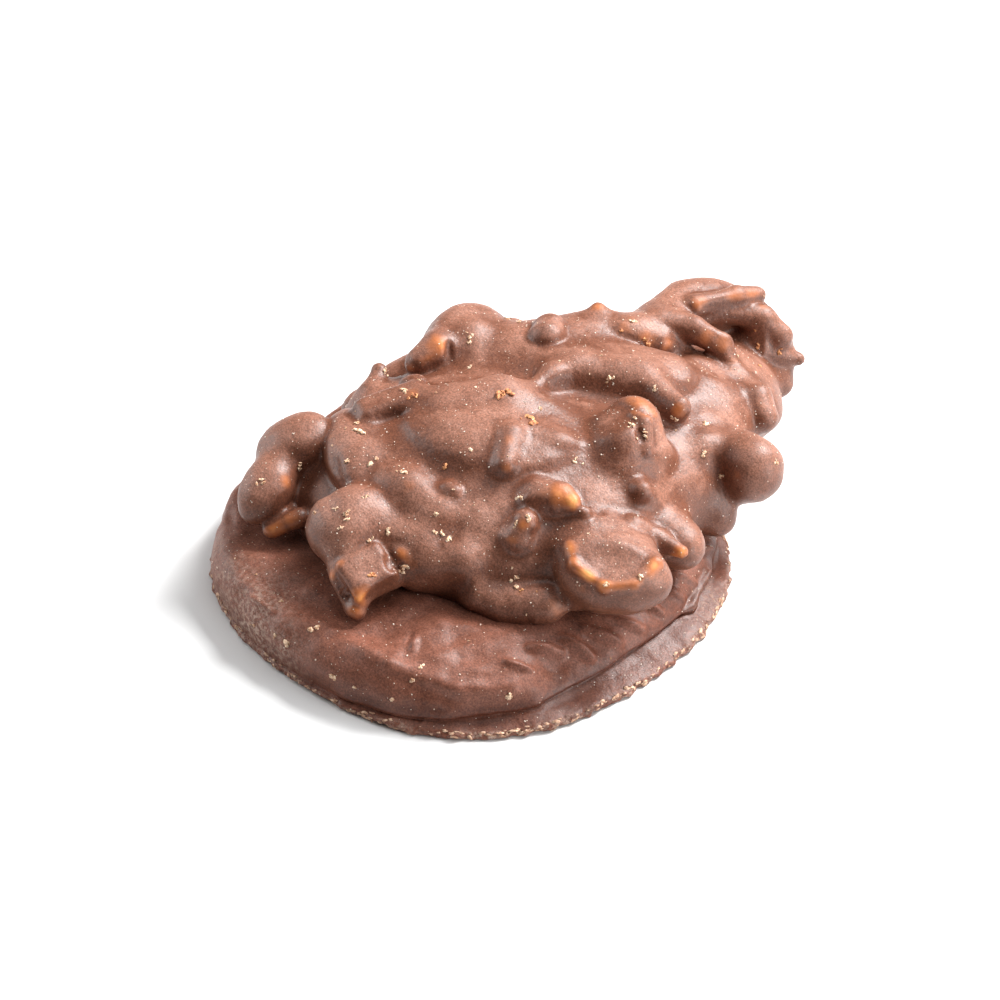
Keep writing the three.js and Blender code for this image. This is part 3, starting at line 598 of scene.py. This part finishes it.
ridge("peg", (-8.4, 9, 20.3), 2.7, (-9.5, 10.5, 20.2), 2.4, 0.4)
pecan("back_dome", (-2.9, 21.6, 17.4), (11.2, 7, 6), 62, -18, 0.5)
ridge("back_dome_end", (-0.3, 22.5, 17.2), 1.9, (1, 25.1, 14.9), 1.2, 1.2)

# The dips between the nuts.
hollow("under_brow", (9.1, -31.6, 10.5), (12, 4, 5), 53, -2, 1.5)
hollow("chunk_pit", (2.7, -37.6, 10.5), (2.8, 1.8, 2), -14, -13, 0.4)
hollow("collar_pit", (4.9, -32, 13.8), (2.8, 1.5, 2), -20, -24, 0.5)
hollow("rim_dish", (26.7, -15.3, 17.3), (10.7, 6, 4.4), 32, -4, 1.5)
hollow("prow_under", (10.3, -16.3, 20.2), (4.5, 2.5, 3), 44, 19, 1)
hollow("curl_hole", (6.2, 23.8, 17.6), (8.1, 1.8, 3.4), -6, 0, 0.6)
hollow("tail_valley", (1.8, 33.6, 18.6), (7.8, 1.5, 2.4), 69, -11, 0.6)
hollow("tail_face", (9.6, 26.9, 18.9), (13.6, 7, 8), 41, -20, 2)
hollow("slab_crack", (-15.3, -2.4, 20.6), (3.5, 1, 2.4), -49, -38, 0.6)
hollow("tall_hole", (15.7, 0.9, 21.3), (1.7, 0.9, 1.4), -22, -40, 0.4)
hollow("under_long", (7.6, -2.3, 23.4), (13.1, 6, 4.4), 35, 1, 2.5)
hollow("crater_pit", (18.9, -9.6, 17.2), (1.5, 1.2, 1.2), 19, -13, 0.6)
hollow("crescent", (7.7, -26.4, 15.6), (2.8, 1.1, 1.6), -35, -25, 0.4)
hollow("oval_side", (-10, -27.6, 18.1), (6, 1.4, 2.4), -30, -15, 0.8)

# The flat underside over the disc, how far off a nut still counts, and the steps in which a
# rough skin is drawn on to the coat.
HEAP_UNDERSIDE, UNDERSIDE_SOFT = 3.0, 2.5
FAR = 5.0
FEEL, LONGEST_STEP, LEAST_SLOPE = 0.02, 1.5, 0.2


def turn_of(nut):
    """How a nut lies: rolled on its long side, tilted up, then turned to its heading."""
    roll, tilt, heading = nut.turned
    return Euler((radians(roll), radians(-tilt), radians(heading)), "XYZ")


def gap_to(points, shape):
    """Distance from each point to one nut's own surface, less than nothing inside it."""
    if shape.kind == "ridge":
        way = np.array(shape.tip) - np.array(shape.foot)
        length = np.linalg.norm(way)
        near = points - shape.foot
        up = near @ (way / length)
        out = np.sqrt(np.maximum((near**2).sum(1) - up**2, 0))
        grown = (shape.tip_radius - shape.foot_radius) / length
        step = np.clip(up - out * grown, 0, length)
        return np.hypot(out, up - step) - shape.foot_radius - grown * step
    half = np.array(shape.size) / 2
    near = (points - shape.middle) @ np.array(turn_of(shape).to_matrix())
    if shape.kind == "block":
        past = abs(near) - half + shape.edge
        outside = np.sqrt((np.maximum(past, 0) ** 2).sum(1))
        return outside + np.minimum(past.max(1), 0) - shape.edge
    length = np.sqrt(((near / half) ** 2).sum(1))
    slope = np.maximum(np.sqrt(((near / half / half) ** 2).sum(1)), 0.001)
    return length * (length - 1) / slope


def soft_least(a, b, width):
    """The lesser of two distances, rounded over that width where they meet."""
    near = np.maximum(width - abs(a - b), 0) / width
    return np.minimum(a, b) - near * near * width / 4


def reach_of(shape):
    """The middle of a nut and how far from it the nut still pulls on the coat."""
    if shape.kind == "ridge":
        foot, tip = np.array(shape.foot), np.array(shape.tip)
        half = np.linalg.norm(foot - tip) / 2 + max(shape.foot_radius, shape.tip_radius)
        return (foot + tip) / 2, half + shape.blend + FAR
    return np.array(shape.middle), max(shape.size) / 2 + shape.blend + FAR


def heap_gap(points):
    """Distance from each point to the coat that runs over all the nuts."""
    total = np.full(len(points), 2.0 * FAR)
    for shape in PECANS.values():
        middle, reach = reach_of(shape)
        near = ((points - middle) ** 2).sum(1) < reach**2
        gap = gap_to(points[near], shape)
        if shape.kind == "hollow":
            total[near] = -soft_least(-total[near], gap, shape.blend)
        else:
            total[near] = soft_least(total[near], gap, shape.blend)
    return -soft_least(-total, points[:, 2] - HEAP_UNDERSIDE, UNDERSIDE_SOFT)


def settle(points, rounds):
    """Moves points on to the coat, each straight towards it."""
    for _ in range(rounds):
        gap = heap_gap(points)
        slope = np.stack([(heap_gap(points + FEEL * way) - gap) / FEEL for way in np.eye(3)], 1)
        step = -gap / np.maximum((slope**2).sum(1), LEAST_SLOPE)
        points = points + slope * np.clip(step, -LONGEST_STEP, LONGEST_STEP)[:, None]
    return points


def evened(mesh, points, rounds):
    """Moves each point half of the way to the middle of its neighbours."""
    ends = np.empty(len(mesh.edges) * 2, int)
    mesh.edges.foreach_get("vertices", ends)
    one, other = ends.reshape(-1, 2).T
    count = np.bincount(ends, minlength=len(points))[:, None]
    for _ in range(rounds):
        total = np.zeros_like(points)
        for axis in range(points.shape[1]):
            total[:, axis] = np.bincount(one, points[other, axis], len(points))
            total[:, axis] += np.bincount(other, points[one, axis], len(points))
        points = points + 0.5 * (total / count - points)
    return points


def remeshed(mesh, size):
    """The same skin in even squares of that size."""
    holder = bpy.data.objects.new("skin", mesh)
    bpy.context.scene.collection.objects.link(holder)
    remesh = holder.modifiers.new("squares", "REMESH")
    remesh.mode = "VOXEL"
    remesh.voxel_size = size
    remesh.use_smooth_shade = True
    graph = bpy.context.evaluated_depsgraph_get()
    even = bpy.data.meshes.new_from_object(holder.evaluated_get(graph))
    bpy.data.objects.remove(holder)
    return even


def add_ridge(pile, shape):
    """A cone with a ball on each end."""
    foot, tip = Vector(shape.foot), Vector(shape.tip)
    way = tip - foot
    place = Matrix.Translation((tip + foot) / 2)
    place @= way.to_track_quat("Z", "Y").to_matrix().to_4x4()
    bmesh.ops.create_cone(
        pile, cap_ends=True, segments=24, radius1=shape.foot_radius, radius2=shape.tip_radius,
        depth=way.length, matrix=place,
    )
    for end, radius in ((foot, shape.foot_radius), (tip, shape.tip_radius)):
        round_end = Matrix.Translation(end)
        bmesh.ops.create_icosphere(pile, subdivisions=3, radius=radius, matrix=round_end)


# The rough skin's squares and the fine ones, and the coat's ripples by height, length and seed.
FIRST_SQUARES, SQUARES = 0.6, 0.365
COAT_RIPPLES = ((0.08, 6, 11), (0.02, 2.4, 12), (0.006, 1.1, 13))
pile = bmesh.new()
for shape in PECANS.values():
    if shape.kind == "ridge":
        add_ridge(pile, shape)
    elif shape.kind == "block":
        place = Matrix.LocRotScale(Vector(shape.middle), turn_of(shape), Vector(shape.size))
        bmesh.ops.create_cube(pile, size=1, matrix=place)
    elif shape.kind == "pecan":
        place = Matrix.LocRotScale(Vector(shape.middle), turn_of(shape), Vector(shape.size) / 2)
        bmesh.ops.create_icosphere(pile, subdivisions=4, radius=1, matrix=place)
heap_mesh = remeshed(smooth_mesh(pile, "heap"), FIRST_SQUARES)
write_points(heap_mesh, settle(read_points(heap_mesh), 3))
heap_mesh = remeshed(heap_mesh, SQUARES)
points = settle(read_points(heap_mesh), 2)
points = settle(evened(heap_mesh, points, 1), 1)
write_points(heap_mesh, points)
points += read_normals(heap_mesh) * rippled(points, COAT_RIPPLES)[:, None]
write_points(heap_mesh, (points + CENTRE) * MM)

# Where the coat is so thin that the roasted nut shows through: middle, reach and strength.
THIN = (
    # The small nuts at the front, and the one that glows.
    ((16.4, -13.3, 19.8), 1.9, 1.0), ((14.8, -13.9, 20.0), 1.8, 0.7), ((17.4, -13.1, 19.4), 1.2, 1.0),
    ((14.9, -19.3, 17.9), 1.0, 0.7), ((14.5, -20.6, 16.4), 1.0, 0.4), ((0.4, -24.7, 18.7), 1.3, 0.5),
    ((1.1, -19.3, 19.7), 1.2, 0.5), ((-3.0, -10.2, 22.9), 1.2, 0.4), ((5.9, -12.3, 22.5), 1.0, 0.6),
    ((8.3, -15.1, 20.6), 1.0, 0.4), ((22.3, -20.1, 10.0), 1.6, 0.5), ((13.1, -24.8, 5.3), 1.2, 0.4),
    ((17.6, -22.3, 11.0), 1.0, 0.6),
    # The nuts at the left, and those behind the oval one.
    ((-15.1, -31.4, 15.0), 1.0, 0.9), ((-13.3, -35.1, 10.6), 1.6, 0.8), ((-12.2, -33.5, 11.5), 1.5, 0.5),
    ((-14.4, -24.2, 18.5), 0.7, 0.7), ((-13.7, -17.6, 21.0), 1.0, 0.4), ((-10.2, -13.8, 21.8), 1.2, 0.7),
    ((-18.0, -7.2, 18.0), 1.3, 0.7), ((-16.7, -4.5, 19.9), 1.6, 0.5), ((-16.8, -2.9, 21.1), 1.8, 0.8),
    ((-15.9, 1.2, 21.1), 1.2, 0.5),
    # The corners of the broken chunk.
    ((-0.1, -37.2, 12.2), 0.9, 0.8), ((4.9, -37.0, 10.9), 1.4, 1.0), ((4.6, -37.8, 9.3), 1.2, 0.6),
    ((0.5, -36.5, 13.7), 0.9, 0.5), ((4.5, -30.1, 14.0), 1.5, 0.7), ((6.1, -29.8, 13.1), 1.2, 0.8),
    # The lip of the dished nut, and the tip of its fin.
    ((20.8, -16.8, 16.3), 1.3, 0.95), ((22.6, -17.8, 16.0), 1.5, 0.6), ((24.8, -17.9, 15.1), 1.8, 1.0),
    ((27.1, -17.6, 14.8), 1.7, 0.75), ((28.6, -16.3, 14.4), 1.6, 0.5), ((29.4, -14.7, 14.7), 1.6, 0.5),
    ((29.5, -11.6, 15.5), 1.5, 0.85), ((30.2, -11.8, 14.8), 1.2, 0.7), ((24.6, -18.4, 13.6), 1.2, 0.6),
    ((23.7, -18.5, 14.7), 1.2, 0.5), ((28.2, -4.6, 12.9), 1.0, 0.9), ((27.5, -4.9, 12.1), 0.8, 0.6),
    # The tall nut, the curved half and the ball.
    ((12.3, 4.5, 23.0), 2.0, 0.7), ((14.1, 4.4, 22.4), 1.8, 0.7), ((15.7, 4.7, 20.3), 1.6, 0.5),
    ((17.6, -1.4, 19.1), 1.0, 0.8), ((13.3, 2.0, 23.2), 1.0, 0.5), ((14.3, 9.5, 19.8), 1.3, 0.8),
    ((-0.6, 3.3, 21.7), 1.5, 0.3), ((7.7, 9.6, 21.2), 1.2, 0.3), ((21.9, 13.7, 16.4), 1.4, 0.3),
    ((23.2, 11.0, 13.7), 1.2, 0.4), ((14.9, 25.2, 13.2), 1.5, 0.4),
    # The back edge, the curl and the folds of the tail.
    ((-0.4, 19.6, 18.7), 1.6, 0.9), ((-2.9, 17.6, 19.9), 1.6, 0.7), ((1.5, 22.0, 17.8), 1.4, 0.6),
    ((-2.6, 19.9, 20.6), 1.5, 0.4), ((-7.9, 18.2, 20.9), 1.2, 0.7), ((4.2, 26.5, 18.1), 1.3, 0.7),
    ((6.0, 27.8, 17.2), 1.3, 0.8), ((8.0, 27.7, 15.0), 1.2, 0.7), ((-0.3, 30.3, 19.7), 1.5, 0.5),
    ((1.6, 35.3, 18.8), 1.6, 0.6), ((2.3, 38.1, 18.2), 1.4, 0.6), ((3.5, 38.8, 17.2), 1.0, 0.5),
)

# Painted shade: the coat is painted darker close to another nut, on steep sides and low between crests,
# where shade would fall.
SHADE_DEPTHS, SHADE_SHARE = (1.0, 2.2, 4.0), 0.5
LEVEL, STEEP_SPAN, STEEP_SHARE = 0.75, 0.9, 0.4
CREST_ROUNDS, CREST_HEIGHT, VALLEY_SHARE = 21, 0.22, 0.3
THIN_ANYWHERE = 0.25
normals = read_normals(heap_mesh)
painted_shade = np.zeros(len(points))
for deep in SHADE_DEPTHS:
    room = heap_gap(points + deep * normals) / deep
    painted_shade += SHADE_SHARE * np.clip(1 - room, 0, 1)
painted_shade += STEEP_SHARE * np.clip((LEVEL - normals[:, 2]) / STEEP_SPAN, 0, 1)
above = ((points - evened(heap_mesh, points, CREST_ROUNDS)) * normals).sum(1) / CREST_HEIGHT
painted_shade += VALLEY_SHARE * np.clip(-above, 0, 1)
crest = np.clip(above, 0, 1)
thinness = sum_of_spots(points, THIN) * (THIN_ANYWHERE + (1 - THIN_ANYWHERE) * crest)
# The painted shade is kept on the mesh, and the coat's material darkens the chocolate with it.
put_values(heap_mesh, "painted_shade", painted_shade)
put_values(heap_mesh, "crest", crest)
put_values(heap_mesh, "thin", thinness)
heap = add_piece("coated_pecans", heap_mesh, "coat_chocolate", "cluster")

# The milk chocolate's tones and shine, and the colours of the nut: under a thin coat and bare.
MILK_TONES = (0.145, 0.052, 0.029), (0.27, 0.119, 0.078), (0.375, 0.195, 0.145)
MILK_SHINE = 0.38
VEILED_NUT, BARE_NUT = (0.45, 0.14, 0.045), (0.88, 0.37, 0.115)
RAGGED, RAGGED_SHARE = 900, 0.35
coat, look = chocolate("milk_chocolate_coat", *MILK_TONES, MILK_SHINE)
tree = coat.node_tree
thin = add(tree, "Attribute", attribute_name="thin").outputs["Fac"]
ragged = noise(tree, add(tree, "TexCoord").outputs["Object"], RAGGED)
ragged = sum_up(tree, "MULTIPLY", sum_up(tree, "SUBTRACT", ragged, 0.5), RAGGED_SHARE)
thin = sum_up(tree, "ADD", thin, ragged)
warm = mixed(tree, spread(tree, thin, 0.15, 0.6), look.outputs["Color"], opaque(VEILED_NUT))
warm = mixed(tree, spread(tree, thin, 0.6, 1.0), warm, opaque(BARE_NUT))
tree.links.new(warm, tree.nodes["Principled BSDF"].inputs["Base Color"])
heap.data.materials.append(coat)

# Crumbs: bits of broken pecan that stuck to the soft coat, cream coloured and ragged, one or a
# few in a place. More of them lie round the back, at random.
CHIP_UNEVEN = 0.15
LARGE_CRUMB, CRUMBS_IN_LARGE = 0.55, 3
CRUMB_SPREAD, CRUMB_FLAT = 0.3, 0.42
CRUMB_LENGTHS, CRUMB_WIDTHS = (0.55, 0.95), (0.4, 0.8)
BACK_CRUMBS, BACK_CRUMB_SIZES = 46, (0.3, 0.9)
NUT_PATCHES, NUT_ROUGH = 2600, 0.7
CREAM_TONES = (0.50, 0.26, 0.14), (0.90, 0.68, 0.48)
CREAM_CRUMBS = (
    (-16.7, -34.2, 15.5, 1.0), (-16.3, -28.3, 15.2, 0.8), (-11.2, -22.1, 19.6, 1.4),
    (-6.6, -24.2, 18.7, 1.0), (-13.6, -22.7, 19.2, 0.5), (-13.0, -20.9, 19.5, 0.8),
    (-14.4, -19.1, 19.3, 0.5), (-11.7, -14.1, 22.1, 1.1),
    (-2.7, -23.8, 19.2, 0.5), (-1.8, -23.4, 19.4, 0.8), (-4.2, -32.7, 17.4, 0.6), (-2.5, -32.5, 17.4, 1.0),
    (-2.0, -33.8, 16.5, 0.6), (-6.8, -34.2, 16.1, 0.6), (0.9, -31.8, 15.0, 0.8), (5.3, -24.6, 17.4, 0.6),
    (6.6, -25.4, 15.8, 0.9), (-15.2, 1.2, 20.9, 0.9), (-9.5, 8.1, 21.9, 0.5), (2.6, -16.2, 21.4, 0.6),
    (7.3, -14.3, 22.1, 0.4), (12.7, -6.2, 19.7, 0.5), (4.6, -21.3, 19.1, 0.5), (14.0, 1.2, 23.6, 0.8),
    (14.1, 0.4, 22.0, 0.5), (16.5, 0.4, 22.4, 0.9), (13.8, 9.5, 18.6, 0.8), (14.5, 9.4, 17.9, 0.6),
    (-3.1, 19.6, 20.6, 0.9), (13.9, -19.6, 17.7, 0.6), (14.9, -18.4, 19.0, 0.9), (7.7, -20.6, 18.0, 0.5),
    (20.9, -13.9, 16.9, 0.5), (24.3, -12.2, 16.6, 0.4), (29.3, -13.7, 15.0, 0.8), (16.5, -22.1, 12.0, 1.0),
    (16.1, -21.8, 12.9, 0.5), (19.7, -23.1, 8.8, 0.5), (5.3, -30.6, 12.5, 0.9), (5.4, -30.9, 11.6, 0.8),
    (0.8, 9.8, 21.6, 0.5), (9.6, 17.2, 18.8, 0.5), (-7.9, -11.7, 22.5, 0.4), (-4.7, -8.2, 23.1, 0.5),
    (-2.1, 4.9, 21.8, 0.5), (2.0, -42.4, 7.6, 1.0), (-11.2, -40.8, 7.6, 0.5), (30.9, -17.2, 5.0, 0.5),
    (16.5, -40.1, 6.4, 0.6), (16.0, -37.5, 7.2, 0.6), (25.6, -32.1, 4.4, 1.0), (11.7, -46.9, 4.8, 0.6),
    (8.1, -48.0, 5.0, 0.8), (-6.9, -44.6, 4.0, 0.6), (-0.2, -45.4, 5.5, 1.0), (-2.6, -45.2, 5.0, 0.6),
    (-5.1, -41.7, 7.4, 0.6), (-15.2, -40.0, 7.0, 0.5), (16.2, -43.4, 4.5, 0.6), (17.1, -30.5, 7.6, 0.5),
)


def skin_of(meshes):
    """The finished surface of some pieces, to find places on."""
    corners, faces = [], []
    for mesh in meshes:
        faces += [[len(corners) + corner for corner in face.vertices] for face in mesh.polygons]
        corners += [vertex.co for vertex in mesh.vertices]
    return BVHTree.FromPolygons(corners, faces)


def random_places(draw, mesh, count, least_up=-1.0, level=0.0):
    """Places on a mesh with the surface's own direction there, more of them on level ground."""
    kept = {}
    for name, width in (("area", 1), ("center", 3), ("normal", 3)):
        kept[name] = np.empty(len(mesh.polygons) * width)
        mesh.polygons.foreach_get(name, kept[name])
    centres, ups = kept["center"].reshape(-1, 3), kept["normal"].reshape(-1, 3)
    chance = kept["area"] * (1 + level * np.clip(ups[:, 2], 0, 1)) * (ups[:, 2] > least_up)
    picked = draw.choice(len(chance), count, p=chance / chance.sum())
    return [(Vector(centres[one]), Vector(ups[one])) for one in picked]


def add_chip(form, draw, place, up, along, lengths, detail):
    """One ragged chip, lying on the surface with its long side along that way."""
    side = up.cross(along).normalized()
    turned = Matrix((side.cross(up), side, up)).transposed().to_quaternion()
    seat = Matrix.LocRotScale(place, turned, Vector(lengths) / 2)
    made = bmesh.ops.create_icosphere(form, subdivisions=detail, radius=1, matrix=seat)
    for vertex in made["verts"]:
        vertex.co += Vector(draw.normal(size=3)) * CHIP_UNEVEN * lengths[1]
        vertex.co.z = max(vertex.co.z, 0)


def crumbled(name, seed, spots, detail=2):
    """Crumbs at the spots, each given by its place and size: one, or a few if it is large."""
    form = bmesh.new()
    draw = np.random.default_rng(seed)
    for *spot, size in spots:
        for _ in range(CRUMBS_IN_LARGE if size > LARGE_CRUMB else 1):
            shift = draw.normal(size=3) * size * CRUMB_SPREAD
            place, up, _, _ = skin.find_nearest(Vector((np.array(spot) + shift + CENTRE) * MM))
            long = size * draw.uniform(*CRUMB_LENGTHS) * MM
            lengths = (long, long * draw.uniform(*CRUMB_WIDTHS), long * CRUMB_FLAT)
            add_chip(form, draw, place, up, Vector(draw.normal(size=3)), lengths, detail)
    return smooth_mesh(form, name)


def crumb_look(name, dark, pale):
    """Bare nut: two tones in fine patches, without shine."""
    material = bpy.data.materials.new(name)
    material.use_nodes = True
    tree = material.node_tree
    shader = tree.nodes["Principled BSDF"]
    patches = noise(tree, add(tree, "TexCoord").outputs["Object"], NUT_PATCHES)
    colour = mixed(tree, spread(tree, patches, 0.4, 0.6), opaque(dark), opaque(pale))
    tree.links.new(colour, shader.inputs["Base Color"])
    shader.inputs["Roughness"].default_value = NUT_ROUGH
    return material


skin = skin_of((disc_mesh, heap_mesh))
back_draw = np.random.default_rng(41)
back_spots = [
    (*(np.array(place) / MM - CENTRE), back_draw.uniform(*BACK_CRUMB_SIZES))
    for place, _ in random_places(back_draw, heap_mesh, BACK_CRUMBS, 0.0)
]
crumbs = add_piece("cream_crumbs", crumbled("cream_crumbs", 21, [*CREAM_CRUMBS, *back_spots]))
crumbs.data.materials.append(crumb_look("broken_nut", *CREAM_TONES))

# Flakes: orange-brown bits of roasted pecan skin that broke off and stuck to the coat, the
# largest of them on the plate in the middle. They are made as the crumbs are.
SKIN_TONES = (0.36, 0.11, 0.04), (0.74, 0.34, 0.14)
SKIN_FLAKES = (
    (-0.7, -6.4, 23.2, 1.7), (4.5, -6.3, 23.0, 1.8), (3.6, -8.0, 22.7, 0.5), (-10.1, -14.0, 21.8, 1.0),
    (17.7, -22.1, 11.1, 0.6), (18.5, -23.8, 6.3, 0.8), (4.3, -34.6, 13.1, 0.9), (-0.4, 19.6, 18.7, 0.9),
    (-2.9, 17.6, 19.9, 0.6), (4.5, 36.4, 14.7, 0.5), (5.7, 35.6, 12.8, 0.6), (7.5, 38.3, 11.9, 0.8),
    (8.5, 33.4, 12.7, 0.6), (1.0, -19.3, 19.7, 0.8), (19.5, -20.9, 11.1, 0.5),
)
flakes = add_piece("skin_flakes", crumbled("skin_flakes", 22, SKIN_FLAKES))
flakes.data.materials.append(crumb_look("roasted_skin", *SKIN_TONES))

# Dust: fine pale grains of nut and sugar that settled on the whole cluster, most of them where it
# is level and none underneath.
GRAINS_ON_HEAP, GRAINS_ON_DISC = 1500, 900
GRAIN_LEAST, GRAIN_MORE, GRAIN_MOST = 0.035, 0.03, 0.13
LEAST_UP, MORE_ON_LEVEL = 0.02, 2.0
GRAIN_TONES = (0.55, 0.40, 0.30), (0.88, 0.76, 0.64)
grains = bmesh.new()
grain_draw = np.random.default_rng(31)
for mesh, count in ((heap_mesh, GRAINS_ON_HEAP), (disc_mesh, GRAINS_ON_DISC)):
    for place, _ in random_places(grain_draw, mesh, count, LEAST_UP, MORE_ON_LEVEL):
        radius = min(GRAIN_LEAST + grain_draw.exponential(GRAIN_MORE), GRAIN_MOST) * MM
        seat = Matrix.Translation(place)
        bmesh.ops.create_icosphere(grains, subdivisions=1, radius=radius, matrix=seat)
dust = add_piece("pale_dust", smooth_mesh(grains, "pale_dust"))
dust.data.materials.append(crumb_look("pale_grains", *GRAIN_TONES))

# Torn rim: when the set disc was pulled off its sheet, thin tan flakes of chocolate broke out of
# the edge of its foot and hung on, thick in some places and few in others.
RIM_FLAKES = 620
RIM_LENGTHS, RIM_WIDTH, RIM_THICK = (0.35, 1.3), 0.4, 0.14
RIM_CLUMPS, CLUMP_FEWEST, CLUMP_MOST = (7, 52), -1.6, 0.9
RIM_INWARDS, RIM_HEIGHTS, RIM_ASKEW = (-0.1, 0.5), (0.45, 1.25), 0.25
TORN_TONES = (0.34, 0.17, 0.10), (0.66, 0.44, 0.30)
torn_form = bmesh.new()
torn_draw = np.random.default_rng(51)
for around in torn_draw.uniform(-pi, pi, RIM_FLAKES):
    way = np.array((cos(around), sin(around), 0.0))
    clump = waves(np.array([way]) * DISC_RADIUS, *RIM_CLUMPS)[0]
    if clump < torn_draw.uniform(CLUMP_FEWEST, CLUMP_MOST):
        continue
    edge = section(np.array([around]))[3, 0, 0]
    spot = way * (edge - torn_draw.uniform(*RIM_INWARDS))
    spot[2] = torn_draw.uniform(*RIM_HEIGHTS)
    place, up, _, _ = skin.find_nearest(Vector((spot + DISC_MIDDLE + CENTRE) * MM))
    along = Vector((-way[1], way[0], torn_draw.normal() * RIM_ASKEW))
    long = torn_draw.uniform(*RIM_LENGTHS) * MM
    add_chip(torn_form, torn_draw, place, up, along, (long, long * RIM_WIDTH, RIM_THICK * MM), 1)
rim_flakes = add_piece("rim_flakes", smooth_mesh(torn_form, "rim_flakes"))
rim_flakes.data.materials.append(crumb_look("torn_edge", *TORN_TONES))

# The table: a plain pale board under soft lamps. The strongest lamp stands behind, so that the
# nuts' near sides are in shade, and weak ones at the left and the right open the shade.
FLOOR_HALF = 1.5
BOARD_PALE, BOARD_ROUGH = 0.75, 0.9
LAMP_AIM = Vector((0, -0.01, 0.01))
ROOM_LIGHT = 0.04
floor_form = bmesh.new()
bmesh.ops.create_grid(floor_form, x_segments=1, y_segments=1, size=FLOOR_HALF)
floor = bpy.data.objects.new("floor", smooth_mesh(floor_form, "floor"))
bpy.context.scene.collection.objects.link(floor)
board = bpy.data.materials.new("pale_board")
board.use_nodes = True
shader = board.node_tree.nodes["Principled BSDF"]
shader.inputs["Base Color"].default_value = opaque([BOARD_PALE] * 3)
shader.inputs["Roughness"].default_value = BOARD_ROUGH
floor.data.materials.append(board)


def lamp(name, place, size, power):
    """A square soft lamp that faces the cluster."""
    light = bpy.data.lights.new(name, "AREA")
    light.shape = "RECTANGLE"
    light.size = light.size_y = size
    light.energy = power
    holder = bpy.data.objects.new(name, light)
    holder.location = place
    holder.rotation_euler = (LAMP_AIM - holder.location).to_track_quat("-Z", "Y").to_euler()
    bpy.context.scene.collection.objects.link(holder)


lamp("behind", (0.06, 0.34, 0.37), 0.22, 6.3)
lamp("over", (0.05, 0.05, 0.45), 0.4, 0.9)
lamp("left", (-0.42, -0.2, 0.2), 0.3, 1.7)
lamp("right", (0.42, 0.14, 0.12), 0.2, 1.5)

world = bpy.data.worlds.new("studio")
world.use_nodes = True
world.node_tree.nodes["Background"].inputs["Color"].default_value = (1, 1, 1, 1)
world.node_tree.nodes["Background"].inputs["Strength"].default_value = ROOM_LIGHT
bpy.context.scene.world = world
bpy.context.scene.view_settings.view_transform = "Standard"

# The camera looks down on the front of the disc, with the tail away from it.
LOOK_AZIMUTH, LOOK_HEIGHT, LOOK_FAR = radians(45), radians(38), 0.353
LOOK_AT = Vector((0.0039, -0.0112, 0.012))
lens = bpy.data.cameras.new("camera")
lens.lens = 100
lens.sensor_width = 36
lens.clip_start = 0.01
camera = bpy.data.objects.new("camera", lens)
away = Vector((
    sin(LOOK_AZIMUTH) * cos(LOOK_HEIGHT),
    -cos(LOOK_AZIMUTH) * cos(LOOK_HEIGHT),
    sin(LOOK_HEIGHT),
))
camera.location = LOOK_AT + away * LOOK_FAR
camera.rotation_euler = away.to_track_quat("Z", "Y").to_euler()
bpy.context.scene.collection.objects.link(camera)
bpy.context.scene.camera = camera
